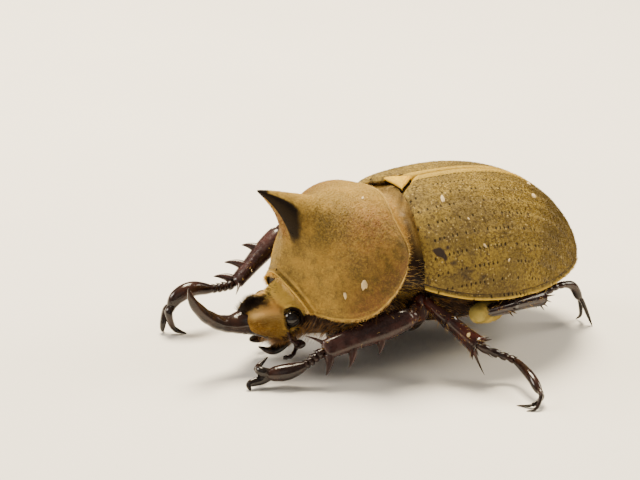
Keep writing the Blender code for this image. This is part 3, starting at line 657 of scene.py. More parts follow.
def scutellum():
    u, v = np.meshgrid(np.linspace(0, 1, 41), np.linspace(-1, 1, 41), indexing="ij")
    half = 2.55 * (1 - u) ** 0.8 + 0.05
    x, y = v * half, -3.85 + 3.1 * u
    edge = np.minimum(np.minimum((1 - np.abs(v)) * half, u * 3.2), 1.0)
    z = CREST(y) + 0.12 - 0.25 * fade(edge, 0, 0.35) + 0.1 * (1 - v * v) - 0.12 * bell(edge, 0.45, 0.15)
    p = np.stack([x, y, z], -1)
    marks = paint(0 * x, 0.5 * bell(edge, 0.1, 0.25))
    finish = velvet_plain("velvet_scutellum", (0.70, 0.45, 0.028), (0.88, 0.60, 0.045), VELVET_ROUGH)
    flow = np.stack([u, 0.5 + 0.5 * v], -1)
    plate("scutellum_plate", p, 0.9, finish, ["scutellum"], marks, flow)
    return p, np.broadcast_to((0.0, 0.0, 1.0), p.shape), marks, flow, finish, "velvet_pale"


def body_ring(y, sunk, lean):
    top = dome(y, np.abs(UPPER_TURNS), INSET(y) + sunk)
    top[:, 0] *= np.sign(UPPER_TURNS)
    edge, middle = top[-1, 0], top[-1, 2]
    a = np.linspace(0, math.pi, LOWER + 2)[1:-1]
    across, drop = np.sign(np.cos(a)) * np.abs(np.cos(a)) ** 0.75, np.sin(a) ** 0.62
    width = edge + (FLANK(y) - edge) * ease(drop, 0.05, 0.45)
    low = np.stack([width * across, 0 * a + y, middle - (middle - BELLY(y)) * drop], -1)
    ring = np.concatenate([top, low])
    ring[:, 1] += lean * (ring[:, 2] - NECK_TOP)
    return ring


def body():
    """Thorax and abdomen as one body with its rings, and a rounded tail plate."""
    stations = np.concatenate([np.linspace(-8.6, -3.2, NECK_RINGS), np.linspace(-3, 27, 121)])
    sunk = NECK_SUNK * fade(stations, -4.4, -3.0)
    rings = [body_ring(y, k, lean) for y, k, lean in zip(stations, sunk, NECK_LEAN(stations))]
    last = rings[-1]
    centre = last.mean(0)
    for t in np.linspace(0.08, 1, 12):
        share = math.sqrt(max(1 - t ** 2.2, 0.0004))
        rings.append(centre + (last - centre) * share + (0, TAIL * t, 0))
    p = np.stack(rings)
    x, y, z = p[..., 0], p[..., 1], p[..., 2]
    normal = unit(p - np.stack([0 * x, y, MARGIN(y)], -1))
    under = ease(MARGIN(y) - z, 0.4, 2.5)
    cut = np.zeros_like(y)
    for ring in BODY_RINGS:
        bowed = ring + 0.05 * x ** 2 * (0.25 if ring > RINGS_END else 0.5)
        cut += bell(y, bowed, 0.16) - 0.35 * bell(y, bowed - 0.45, 0.3)
    h = -0.30 * under * np.clip(cut, -1, 1)
    h -= 0.35 * bell(x, 0, 0.35) * under * ease(y, 0, 1.5) * fade(y, 7, 8.5)
    p = p + normal * h[..., None]
    wide = np.abs(p[..., 0])
    gap = bell(y - BASE_EDGE(np.clip(wide, 0, ELYTRA_HALF_BASE)), -0.3, 0.7) * (0.55 + 0.3 * ease(wide, 4, 7))
    top = np.maximum(ease(z, 15.5, 20), ease(y, -4, -2))
    hairy = fade(MARGIN(y) - z, -0.6, 0.3) * top * (1 - gap)
    tubular("body_skin", p, CHITIN["belly"], ["thorax", "abdomen"], paint(0 * y, hairy * 0.8), True)
    return p, normal


def chest():
    """The keel under the pronotum."""
    rings = []
    a = np.linspace(0, math.pi, 48)
    for s in np.linspace(0, 1, 40):
        half, level, y = SIDE_X(s) * 0.955, SIDE_Z(s) - 0.1, SIDE_Y(s)
        lean = REAR_LEAN * (1 - s) - FRONT_LEAN * s
        across = np.cos(a) * (0.7 + 0.3 * np.abs(np.cos(a)) ** 3)
        depth = (level - KEEL) * np.sin(a) ** 1.5
        rings.append(np.stack([half * across, y - depth * lean, level - depth], -1))
    p = np.stack(rings)
    roof = np.linspace(p[:, -1], p[:, 0], 12, axis=1)[:, 1:-1]
    closed = np.concatenate([p, roof], 1)
    tubular("chest_keel", closed, CHITIN["belly"], ["prosternum"], paint(0 * closed[..., 0]), True)
    return p


def collar(shell):
    """The dark skin that closes the gap between the pronotum's front rim and the neck."""
    rim = shell[0][-4, 4:-4:4]
    a = np.linspace(-QUARTER_TURN, QUARTER_TURN, len(rim))
    neck = np.stack([3.6 * np.sin(a), 0 * a - 19.5, 7.6 + 4.4 * np.cos(a)], 1)
    u = np.linspace(0, 1, 14)[:, None, None]
    sag = (0, 0.9, -0.4) * (u * (1 - u) * 4)
    p = rim * 0.97 * (1 - u) + rim * 0.03 * (1 - u) * (0, 1, 1) + neck * u + sag
    plate("neck_collar", p, 0.25, CHITIN["belly"], [], paint(0 * p[..., 0], 0.12), unwrap(p))


def hind_fold(shell, torso):
    """The furry fold between the pronotum's hind rim and the neck behind it."""
    skin, normal = shell[:2]
    some = slice(6, -6, 3)
    rim = (skin - normal * 0.3)[2, some]
    row = int(np.argmin(np.abs(torso[0][:NECK_RINGS, UPPER // 2, 1] - FOLD_Y)))
    out = torso[1][row, :UPPER]
    ring = torso[0][row, :UPPER] - out * 0.1
    turns = pronotum_turns()[some]
    neck, rise = (np.stack([np.interp(turns, UPPER_TURNS, v[:, k]) for k in range(3)], 1)
                  for v in (ring, out))
    u = np.linspace(0, 1, 18)[:, None, None]
    p = rim * (1 - u) + neck * u - rise * 0.3 * (4 * u * (1 - u))
    plate("hind_fold", p, 0.2, CHITIN["belly"], [], paint(0 * p[..., 0], 0.62), unwrap(p))
    return p, np.broadcast_to(unit(rise), p.shape)


# ---- head
# from the neck to the horn's tip: (y, z, half width, half height)
HEAD = np.array((
    (-17.6, 8.8, 3.0, 4.6), (-19.8, 8.6, 3.8, 4.9), (-21.9, 8.0, 4.6, 4.4), (-23.6, 7.1, 4.6, 3.3),
    (-25.2, 6.6, 4.1, 2.8), (-26.8, 6.5, 3.2, 2.6), (-28.4, 6.4, 2.3, 2.15), (-31.0, 6.35, 1.5, 1.45),
    (-33.2, 6.9, 1.25, 1.2), (-35.3, 8.2, 1.1, 1.05), (-37.0, 9.9, 0.85, 0.85), (-38.1, 11.6, 0.55, 0.55),
    (-38.6, 13.2, 0.12, 0.12),
))
HEAD_END, HORN_START = 6.5, 5.7  # stations in the table above; the horn starts inside the head
EYE, EYE_RADII = np.array((4.5, -23.3, 7.6)), (1.4, 1.25, 1.25)
CHEEK, CHEEK_LONG, CHEEK_HIGH = np.array((3.4, -26.3, 6.9)), 3.1, 2.15  # velvety bulge before each eye
FEELER = ((3.4, -23.9, 6.1), (5.0, -24.0, 5.5), (5.8, -24.1, 4.8), (6.0, -23.6, 4.4))
JAW = ((2.2, -22.6, 3.0), (2.4, -24.6, 2.1), (2.3, -25.8, 2.0), (1.2, -27.0, 2.4))
JAW_WIDTH = spline((0, 0.9), (0.25, 1.0), (0.6, 0.85), (0.85, 0.5), (1, 0.15))
PALP = ((2.6, -21.6, 3.6), (3.0, -21.4, 2.2), (4.2, -22.8, 1.4), (4.3, -24.3, 1.3))


def head_surface(low, high, rows, sides):
    t = np.linspace(low, high, rows)
    y, z, half_width, half_height = (spline(*enumerate(HEAD[:, k]))(t) for k in range(4))
    path = np.stack([0 * t, y, z], 1)
    rise = unit(np.cross(unit(np.gradient(path, axis=0)), (1, 0, 0)))
    rise *= np.sign(rise[:, 2:3])
    a = np.linspace(0, math.tau, sides, endpoint=False)
    pinch = 1 + 1.4 * ease(y, -25.8, -23)[:, None] * (np.sin(a) > 0)
    across = np.sign(np.cos(a)) * np.abs(np.cos(a)) ** pinch
    ring = (path[:, None] + np.array((1, 0, 0)) * (half_width[:, None] * across)[..., None]
            + rise[:, None] * (half_height[:, None] * np.sin(a))[..., None])
    return ring, np.broadcast_to(a, ring.shape[:2]), unit(ring - path[:, None])


def head_skin():
    """The head without its horn; also where its crest, cheeks and underside lie."""
    p, a, normal = head_surface(0, HEAD_END, 130, 140)
    y, z, up = p[..., 1], p[..., 2], np.sin(a)
    bulge = np.hypot((y - CHEEK[1]) / CHEEK_LONG, (z - CHEEK[2]) / CHEEK_HIGH)
    bulge = bulge + 0.25 * fade(np.abs(np.cos(a)), 0.1, 0.5)
    gap = np.linalg.norm(np.stack([np.abs(p[..., 0]), y, z], -1) - EYE, axis=-1)
    crest = ease(up, 0.75, 0.95) * bell(y, -27.6, 2.4)
    h = 0.85 * fade(bulge, 0.45, 1.15) - 0.18 * bell(bulge, 1.12, 0.14)
    h += 0.5 * crest - 0.9 * fade(gap, 0.9, 1.45) + 0.2 * bell(gap, 1.75, 0.3)
    h += 1.5 * ease(-up, 0.45, 0.95) * bell(y, -23.4, 2.1)
    p = p + normal * h[..., None]
    cheek = fade(bulge, 0.92, 1.02)
    fringe = bell(bulge, 1.08, 0.13) * ease(y, -27.0, -25.2)
    # Painted highlight: cream on the upward-facing side of the head.
    cream_highlight = bell(up, 0.68, 0.22) * ease(y, -29.5, -28.4) * fade(y, -25.4, -24.2)
    dark = ease(-up, 0.55, 0.75) + ease(-y, 29.0, 29.8) + fade(gap, 1.5, 2.1)
    dark += 1.3 * ease(up, 0.88, 0.93) * bell(y, -27.8, 2.3)
    dark += (1 - cheek) * ease(-z, -8.2, -7.4) * ease(y, -25.6, -24.6)
    neck = (1 - 0.75 * cheek) * ease(y, -26.2, -24.6)
    marks = paint(np.clip(dark, 0, 1), np.clip(cream_highlight + 0.85 * fringe, 0, 1), np.clip(neck, 0, 1))
    finish = velvet_head()
    tubular("head_skin", p, finish, ["head"], marks)
    ring = bell(bulge, 1.08, 0.12) * ease(y, -27.5, -25.5)
    parts = dict(crest=crest, bulge=cheek, ring=ring, under=ease(-up, 0.3, 0.7))
    return (p, normal, marks, unwrap(p), finish, "velvet_pale"), parts


def horn_of_head():
    p, a, normal = head_surface(HORN_START, len(HEAD) - 1, 90, 40)
    y = p[..., 1]
    keel = 0.10 * bell(np.abs(np.sin(a)), 0, 0.25) * fade(-y, 36, 38)
    p = p + normal * (keel + 0.03 * np.sin(y * 3 + 2 * a) - 0.01)[..., None]
    tubular("horn_of_head", p, CHITIN["black"], ["head_horn"], paint(0 * y))


def feeler(label, mirror):
    """Beaded stalk and a club of three leaves."""
    t = np.linspace(0, 1, 30)
    beads = 0.26 + 0.08 * np.cos(t * 44)
    whole = Bundle().tube(curved(np.array(FEELER) * mirror, 30), beads, beads, sides=14)
    for k in (-1, 0, 1):
        leaf = ((6.0, -23.7, 4.4), (6.1 + 0.2 * k, -22.9, 4.0 + 0.1 * k),
                (5.9 + 0.45 * k, -21.9, 3.7 + 0.2 * k))
        wide = 0.12 + 0.62 * np.sin(np.linspace(0.15, 2.9, 12))
        whole.tube(curved(np.array(leaf) * mirror, 12), 0.15, wide, (1, 0, 0.2), 14)
    whole.done("feeler_" + label, CHITIN["red"], ["antenna_" + label], "chitin_red")


def head():
    skin, parts = head_skin()
    horn_of_head()
    for side, label in SIDES:
        mirror = (side, 1, 1)
        Bundle().tube(*ball(EYE * mirror, EYE_RADII, 26), sides=30).done(
            "eyeball_" + label, CHITIN["eye"], ["eye_" + label], "eye")
        feeler(label, mirror)
        wide = JAW_WIDTH(np.linspace(0, 1, 24))
        Bundle().tube(curved(np.array(JAW) * mirror, 24), wide, wide * 0.62, square=0.8).done(
            "jaw_" + label, CHITIN["black"], ["mandible_" + label], "chitin")
        wide = 0.27 + 0.09 * np.sin(np.linspace(0, 1, 28) * 19) ** 2
        Bundle().tube(curved(np.array(PALP) * mirror, 28), wide, wide, sides=12).done(
            "palpus_" + label, CHITIN["red"], ["palp_" + label], "chitin_red")
    return skin, parts


def ball(centre, radii, count):
    """Path and half sizes of an egg whose long axis is the animal's."""
    turn = np.linspace(0.12, math.pi - 0.12, count)
    path = np.asarray(centre) + np.outer(-np.cos(turn) * radii[0], (0, 1, 0))
    return path, radii[1] * np.sin(turn), radii[2] * np.sin(turn)


# ---- legs
# along a joint of the leg: (share of its length, half width, half height)
FEMUR = ((0, 0.75, 0.75), (0.08, 1.3, 1.25), (0.3, 1.78, 1.58), (0.6, 1.8, 1.5), (0.85, 1.5, 1.32),
         (0.97, 1.3, 1.2), (1.03, 1.05, 0.95), (1.07, 0.5, 0.45))
FRONT_TIBIA = ((0, 0.8, 0.7), (0.05, 1.4, 1.3), (0.15, 1.8, 1.5), (0.36, 2.0, 1.5), (0.5, 1.85, 1.4),
               (0.64, 1.7, 1.25), (0.9, 1.55, 1.05), (0.98, 1.4, 0.95), (1.0, 0.8, 0.5))
TIBIA = ((0, 0.5, 0.5), (0.05, 0.8, 0.75), (0.15, 1.0, 0.9), (0.4, 1.3, 1.1), (0.5, 1.45, 1.2),
         (0.54, 1.3, 1.1), (0.8, 1.45, 1.2), (0.95, 1.7, 1.35), (0.99, 1.75, 1.4), (1.0, 1.0, 0.8))
# along a foot: where each short joint ends, their half widths, those of the long joint, a claw's base
FRONT_FOOT = ((0.07, 0.13, 0.19, 0.25), (0.84, 0.82, 0.8, 0.76),
              spline((0, 0.55), (0.14, 0.95), (0.4, 1.26), (0.7, 1.16), (0.92, 0.8), (1, 0.45)), 0.82)
FOOT = ((0.125, 0.245, 0.365, 0.485), (0.7, 0.68, 0.64, 0.62),
        spline((0, 0.42), (0.1, 0.56), (0.4, 0.72), (0.8, 0.72), (0.95, 0.56), (1, 0.36)), 0.48)
COXA_RADII = (2.5, 1.9, 2.1)
FOOT_STEPS = 400
FRONT_TEETH = ((0.42, 1.9), (0.71, 2.6), (0.965, 2.6))  # share of the tibia, length
FAR_TEETH_TURN = -1.05
BRISTLES = []


def limb(start, end, profile, count):
    """Path and half sizes of a straight joint, finer at both ends."""
    t = np.unique(np.concatenate([np.linspace(0, 1, count), np.linspace(0, 0.1, 8), np.linspace(0.9, 1, 10)]))
    t = t * profile[-1][0]
    path = start + np.outer(t, end - start)
    out, up = (size(t) for size in splines(*profile))
    return t, path, out, up


def thigh(name, coxa, hip, knee, over, slot):
    _, path, out, up = limb(hip, knee, FEMUR, 34)
    joint = curved([coxa + (hip - coxa) * 0.5, hip, hip + (knee - hip) * 0.12], 12)
    thick = 0.95 * np.sin(np.linspace(0.5, 2.6, 12))
    finish = VELVET_LEG if slot == "velvet" else CHITIN["red" if slot == "chitin_red" else "satin"]
    whole = Bundle().tube(path, out, up, over, 32, square=0.92).tube(joint, thick, thick, over)
    whole.done("thigh_" + name, finish, ["femur_" + name], slot)
    BRISTLES.append((path, out, up, over, "thigh", slot))


def shin(name, knee, ankle, front, outward, slot):
    """A tibia with a keel: three teeth in front, rings of thorns on the others."""
    t, path, out, up = limb(knee, ankle, FRONT_TIBIA if front else TIBIA, 40)
    along, across, rise = frame_at(path, outward)
    whole = Bundle().tube(path, out, up, outward, 28, square=0.85)
    whole.tube(path[2:-3], 0.16, up[2:-3] * 1.06, outward, 8)

    def thorn(station, turn, long, wide, lean=0.6, bow=0.12):
        i = int(np.argmin(np.abs(t - station)))
        sideways, upward = across[i] * math.cos(turn), rise[i] * math.sin(turn)
        root = path[i] + sideways * out[i] * 0.6 + upward * up[i] * 0.6
        tip = root + (sideways + upward) * (0.4 * out[i] + long * 0.8) + along[i] * long * lean
        whole.spike(root, tip, wide, -along[i] * long * bow, 10, 9)

    if front:
        for station, long in FRONT_TEETH:
            thorn(station, FAR_TEETH_TURN if knee[0] < 0 else 0.0, long, 0.85)
        thorn(0.97, math.pi, 1.9, 0.34, 1.2)
    else:
        for k in range(7):
            thorn(0.47 + 0.02 * math.sin(k * 0.9), -1.2 + 0.4 * k, 0.8, 0.2, 0.5)
        for k in range(12):
            thorn(0.975, math.tau * k / 12, 0.55 if k % 3 else 0.9, 0.22, 1.3, 0.0)
        thorn(0.975, math.pi - 0.4, 2.3, 0.3, 1.6)
        thorn(0.975, math.pi + 0.5, 1.8, 0.28, 1.6)
    whole.done("shin_" + name, CHITIN["satin" if front else "red"], ["tibia_" + name], "chitin_red")
    BRISTLES.append((path, out, up, outward, "shin", slot))


def foot(name, line, ends, girths, long_joint):
    """Four beads with short bristles at their ends, and the long last joint."""
    whole = Bundle()
    ahead = line[-1] - line[-9]
    flat = unit(np.array((ahead[1], -ahead[0], 0.001)))
    for low, high, girth in zip((0,) + ends, ends, girths):
        part = line[int(low * FOOT_STEPS):int(high * FOOT_STEPS) + 8][::2]
        u = np.linspace(0, 1, len(part))
        size = girth * (0.62 + 0.38 * ease(u, 0, 0.62)) * (1 - 0.45 * ease(u, 0.84, 1))
        whole.tube(part, size, size * 0.94, flat)
        _, around, lift = frame_at(part, flat)
        step = part[-1] - part[-5]
        for turn in (-2.2, -1.57, -0.9):
            off = (around[-5] * math.cos(turn) + lift[-5] * math.sin(turn)) * girth * 0.8
            root = part[-5] + off
            whole.spike(root, root + step * 1.2 + off * 0.5, 0.09, count=5, sides=6)
    part = line[int(ends[-1] * FOOT_STEPS) - 3:]
    part = part[::3] if (len(part) - 1) % 3 == 0 else np.concatenate([part[::3], part[-1:]])
    size = long_joint(np.linspace(0, 1, len(part)))
    whole.tube(part, size, size, flat, 24)
    whole.done("foot_" + name, CHITIN["dark"], ["tarsus_" + name], "chitin")


def claw_pair(name, line, claws, base):
    end, forward = line[-1], unit(line[-1] - line[-16])
    root = end + forward * 0.75
    tips = [np.array(c, float) for c in claws]
    spread = unit(np.cross(forward, (tips[0] + tips[1]) / 2 - root)) * base * 0.85
    if spread @ (tips[1] - tips[0]) < 0:
        spread = -spread
    pair = Bundle()
    for tip, off in zip(tips, (-spread, spread)):
        tip[2] = max(tip[2], CLAW_FLAT + 0.06)
        bend = (root + tip) / 2 + forward * 0.9
        path = curved([end - forward * 0.3 + off * 0.3, root + off, bend, tip], 26)
        size = base * (1 - 0.88 * np.linspace(0, 1, 26) ** 2.2)
        pair.tube(path, size * 0.8, size, np.cross(forward, spread), 16)
    pair.spike(end, root + forward * 0.5, 0.22)
    pair.done("claw_pair_" + name, CHITIN["black"], ["claws_" + name], "chitin")


def leg(name, coxa, hip, knee, ankle, toes, claws, front, outward, slot):
    coxa, hip, knee, ankle = (np.array(v, float) for v in (coxa, hip, knee, ankle))
    over = np.array((math.copysign(1, coxa[0]), 0, 0.3))
    Bundle().tube(*ball(coxa, COXA_RADII, 24), sides=30).done(
        "hip_" + name, CHITIN["dark"], ["coxa_" + name], "chitin")
    thigh(name, coxa, hip, knee, over, slot)
    shin(name, knee, ankle, front, outward, slot)
    *joints, claw_base = FRONT_FOOT if front else FOOT
    line = curved([ankle] + list(toes), FOOT_STEPS + 1)
    foot(name, line, *joints)
    claw_pair(name, line, claws, claw_base)


def mirrored(places):
    return {key: np.array(value) * MIRROR for key, value in places.items()}


def legs():
    floor = CLAW_FLAT
    leg("front_left", (5.0, -14.8, 4.2), (6.6, -14.0, 4.8), (12.8, -7.0, 8.5), (10.8, -21.4, 4.6),
        [(10.1, -23.9, 2.5), (9.4, -26.2, 1.55), (8.7, -28.0, 1.2), (8.1, -29.5, 1.0)],
        [(5.8, -28.0, 2.7), (8.4, -32.2, floor)], True, (0.6, 0.1, -0.8), "chitin")
    leg("front_right", (-5.0, -14.8, 4.2), (-6.8, -14.5, 4.2), (-18.4, -12.4, 12.3), (-16.5, -21.6, 5.2),
        [(-16.3, -25.5, 5.1), (-16.0, -29.4, 5.8), (-16.0, -32.0, 4.9), (-16.0, -33.3, 3.1)],
        [(-16.6, -33.9, floor), (-14.5, -31.0, floor)], True, (-0.95, 0, -0.25), "chitin")
    middle = dict(coxa=(5.0, -2.4, 4.5), hip=(6.7, -2.8, 5.0), knee=(11.4, -4.6, 10.4),
                  ankle=(19.5, 0.3, 5.0),
                  toes=[(20.4, 3.6, 3.4), (22.3, 5.5, 2.7), (27.0, 5.0, 2.1), (29.8, 4.6, 0.9)],
                  claws=[(29.0, 1.2, floor), (31.2, 1.4, floor)])
    hind = dict(coxa=(6.0, 12.6, 4.2), hip=(7.6, 12.2, 4.6), knee=(14.0, 3.8, 7.4), ankle=(9.2, 19.4, 6.0),
                toes=[(8.4, 23.0, 6.8), (7.6, 27.0, 6.2), (7.6, 29.0, 3.6)],
                claws=[(9.4, 30.8, floor), (5.8, 30.2, floor)])
    for pair, places, slot in (("middle", middle, "chitin_red"), ("hind", hind, "velvet")):
        leg(pair + "_left", **places, front=False, outward=(1, 0, 0.4), slot=slot)
        leg(pair + "_right", **mirrored(places), front=False, outward=(-1, 0, 0.4), slot=slot)


# ---- hairs
DRAW = np.random.default_rng(7)
PATCH = 0.003
FLAT, BENT, CURLED = (0.0,), (0.0, 0.5), (0.0, 0.45, 0.8)  # where along a hair its rings lie
BALD = 1e-6  # the least weight of a place, so that it can still be drawn


def scatter(p, count, weight=None):
    """Random places spread evenly over a grid; gives a function that reads any grid there."""
    area = np.linalg.norm(np.cross(p[1:, :-1] - p[:-1, :-1], p[:-1, 1:] - p[:-1, :-1]), axis=2)
    if weight is not None:
        area = area * np.maximum(weight[:-1, :-1], BALD)
    i, j = np.divmod(DRAW.choice(area.size, count, p=area.ravel() / area.sum()), area.shape[1])
    u, v = DRAW.random((count, 1)), DRAW.random((count, 1))

    def read(grid):
        near = grid[i, j] * (1 - u) + grid[i + 1, j] * u
        return near * (1 - v) + (grid[i, j + 1] * (1 - u) + grid[i + 1, j + 1] * u) * v

    return read


class Coat:
    """Hairs joined into one mesh; each is a small patch of the skin's map at its root's place."""

    def __init__(self):
        self.points, self.faces, self.marks, self.patch, self.flow = [], [], [], [], []
        self.count = 0

    def add(self, roots, lean, out, long, wide, curl=0.0, rings=FLAT, marks=(0, 0, 0, 1), at=0.5, flow=0.0):
        """Tapering three-sided hairs, curling along out."""
        n = len(roots)
        lean, out = unit(np.broadcast_to(lean, (n, 3))), unit(np.broadcast_to(out, (n, 3)))
        side = unit(np.cross(lean, out))
        top = np.cross(side, lean)
        long = np.broadcast_to(np.asarray(long, float).reshape(-1, 1), (n, 1))
        parts, spots = [], []
        for t in rings:
            middle = roots + lean * long * t + out * long * curl * t * t
            for turn in np.arange(3) * math.tau / 3:
                ray = side * math.cos(turn) + top * math.sin(turn)
                parts.append(middle + ray * wide * (1 - t) ** 0.7)
                spots.append((math.cos(turn) * 0.5, t - 0.5))
        parts.append(roots + lean * long + out * long * curl)
        spots.append((0.0, 0.5))
        size, last = len(parts), 3 * (len(rings) - 1)
        pattern = [(2, 1, 0)] + [(last + j, last + (j + 1) % 3, size - 1) for j in range(3)]
        for low in range(0, last, 3):
            for j in range(3):
                a, b = low + j, low + (j + 1) % 3
                pattern += [(a, b, b + 3), (a, b + 3, a + 3)]
        faces = np.array(pattern)[None] + (self.count + size * np.arange(n))[:, None, None]
        at = np.broadcast_to(at, (n, 2))[:, None]
        self.points.append(np.stack(parts, 1).reshape(-1, 3))
        self.faces.append(faces.reshape(-1, 3))
        self.marks.append(np.repeat(np.broadcast_to(marks, (n, 4)), size, 0))
        self.patch.append((at * (1 - PATCH) + PATCH * (np.array(spots)[None] + 0.5)).reshape(-1, 2))
        self.flow.append(np.repeat(np.broadcast_to(flow, (n, 2)), size, 0))
        self.count += n * size

    def done(self, name, finish, slot):
        faces = np.concatenate(self.faces)
        obj = make(name, np.concatenate(self.points), faces.tolist(), finish, (), np.concatenate(self.marks),
                   np.concatenate(self.flow), smooth=False)
        layer = obj.data.uv_layers.new(name="OFBake")
        layer.data.foreach_set("uv", np.concatenate(self.patch)[faces.ravel()].astype(np.float32).ravel())


def backward(normal, away=(0, 1, 0)):
    """The lie of the coat: along the skin, toward the tail."""
    return unit(np.asarray(away, float) - normal * (normal * away).sum(-1, keepdims=True))


def pile(name, skin, count, long, wide, lift=0.35, weight=None, pale=0.3):
    """Short flat coat of a skin, with the skin's own finish and marks."""
    p, normal, marks, flow, finish, slot = skin
    read = scatter(p, count, weight)
    up = unit(read(normal))
    lean = backward(up) + up * lift + DRAW.normal(0, 0.22, (count, 3))
    tint = read(marks)
    tint[:, 1] = np.clip(tint[:, 1] + pale * DRAW.random(count) ** 2, 0, 1)
    size = long * (0.7 + 0.6 * DRAW.random(count))
    coat = Coat()
    coat.add(read(p) - up * 0.03, lean, up, size, wide, marks=tint, at=read(unwrap(p)), flow=read(flow))
    coat.done(name, finish, slot)


def edge_hairs(coat, line, inner, normal, count, long, wide, rise=0.4):
    """A fringe that points out over an edge, away from the line inside it."""
    length = np.concatenate([[0], np.cumsum(np.linalg.norm(np.diff(line, axis=0), axis=1))])
    at = np.sort(DRAW.random(count)) * length[-1]
    root, within, up = (np.stack([np.interp(at, length, v[:, k]) for k in range(3)], 1)
                        for v in (line, inner, normal))
    lean = unit(root - within) + unit(up) * rise + DRAW.normal(0, 0.22, (count, 3))
    size = long * (0.6 + 0.8 * DRAW.random(count))
    spot = np.stack([at / length[-1], 0.5 + 0 * at], 1)
    coat.add(root - unit(lean) * 0.1, lean, up, size, wide, -0.15, BENT, at=spot)


def fur(coat, p, normal, count, long, wide, weight=None, away=(0, 1, 0), lift=0.5, curl=0.15):
    """Longer hairs spread over a grid."""
    read = scatter(p, count, weight)
    up = unit(read(normal))
    lean = backward(up, away) + up * lift + DRAW.normal(0, 0.25, (count, 3))
    size = long * (0.55 + 0.9 * DRAW.random(count))
    coat.add(read(p) - up * 0.1, lean, up, size, wide, curl, CURLED, at=read(unwrap(p)))


def tube_grid(path, out, up, outward):
    """A leg joint's surface and normals as a grid."""
    _, side, rise = frame_at(path, outward)
    a = np.linspace(0, math.tau, 25)
    c, s = np.cos(a), np.sin(a)
    size = side[:, None] * (out[:, None] * c)[..., None] + rise[:, None] * (up[:, None] * s)[..., None]
    return path[:, None] + size, side[:, None] * c[:, None] + rise[:, None] * s[:, None]


# on the pronotum, the left wing case and the middle shin: share of the rows and of the columns,
# half length, half width, turn
CHIPS = (
    ((0.39, 0.90, 0.75, 0.5, 0.4), (0.538, 0.90, 0.55, 0.25, 1.4), (0.186, 0.605, 0.45, 0.22, 0.9)),
    ((0.11, 0.318, 0.8, 0.35, 1.1), (0.50, 0.17, 0.7, 0.35, 1.0), (0.46, 0.351, 0.65, 0.4, 0.9),
     (0.186, 0.69, 0.4, 0.2, 2.4), (0.254, 0.787, 0.3, 0.18, 0.3), (0.16, 0.5, 0.25, 0.16, 1.9)),
    ((0.727, 0.083, 0.38, 0.28, 0.5),),
)
CHIP_SIDES, CHIP_LAYERS = 9, ((0.7, -0.1), (1.0, 0.06), (0.8, 0.13))  # layers: share of the size, height


def flakes(*skins):
    """A few pale chips of dirt that cling to the pile."""
    chips = Bundle()
    a = np.linspace(0, math.tau, CHIP_SIDES, endpoint=False)
    for skin, places in zip(skins, CHIPS):
        for row, column, long, wide, turn in places:
            i, j = (int(v * (n - 1)) for v, n in zip((row, column), skin[0].shape))
            spot, up = skin[0][i, j], unit(skin[1][i, j])
            x = unit(np.cross(up, (math.cos(turn), math.sin(turn), 0.1)))
            y = np.cross(up, x)
            ragged = 1 + 0.22 * np.sin(3 * a + long * 9) + 0.14 * np.sin(5 * a)
            edge = x * (long * np.cos(a) * ragged)[:, None] + y * (wide * np.sin(a))[:, None]
            layers = [spot + edge * share + up * height for share, height in CHIP_LAYERS]
            chips.put(np.concatenate(layers), ring_faces(len(CHIP_LAYERS), CHIP_SIDES))
    f = Finish("pale_dirt", Roughness=0.7, Specular_IOR_Level=0.2)
    finish = f.end(f.mix(f.noise(2.0), (0.40, 0.29, 0.14), (0.60, 0.47, 0.27)))
    chips.done("pale_chips", finish, (), "velvet_pale")


def piles(shell, cases, shield, head_parts):
    """The velvet of the shells and the head."""
    bare = shell[2][..., 0]
    pile("pile_pronotum", shell, 48000, 0.29, 0.034, 0.22, 1.02 - bare)
    pile("pile_scutellum", shield, 1600, 0.26, 0.03, 0.25, pale=0.15)
    for _, label in SIDES:
        bare, row = cases[label][2][..., 0], cases[label][3][..., 0]
        between_dots = 1 - 0.85 * bell(row - np.round(row), 0, 0.14)
        weight = (1.02 - bare) * between_dots
        pile("pile_elytron_" + label, cases[label], 36000, 0.32, 0.034, 0.3, weight)
    skin, parts = head_parts
    weight = (1.01 - skin[2][..., 0]) * (0.5 + parts["bulge"])
    pile("pile_head", skin, 20000, 0.5, 0.032, 0.7, weight)


def pronotum_fringe(shell, gold):
    p, normal = shell[:2]
    coat = Coat()
    edge_hairs(coat, p[-1], p[-6], normal[-1], 1000, 0.8, 0.02)
    for column, inside in ((0, 4), (-1, -5)):
        edge_hairs(coat, p[:, column], p[:, inside], normal[:, column], 1000, 0.55, 0.022, 0.1)
    edge_hairs(coat, p[0], p[4], normal[0], 450, 0.35, 0.024, 0.2)
    coat.done("fringe_pronotum", gold, "velvet")


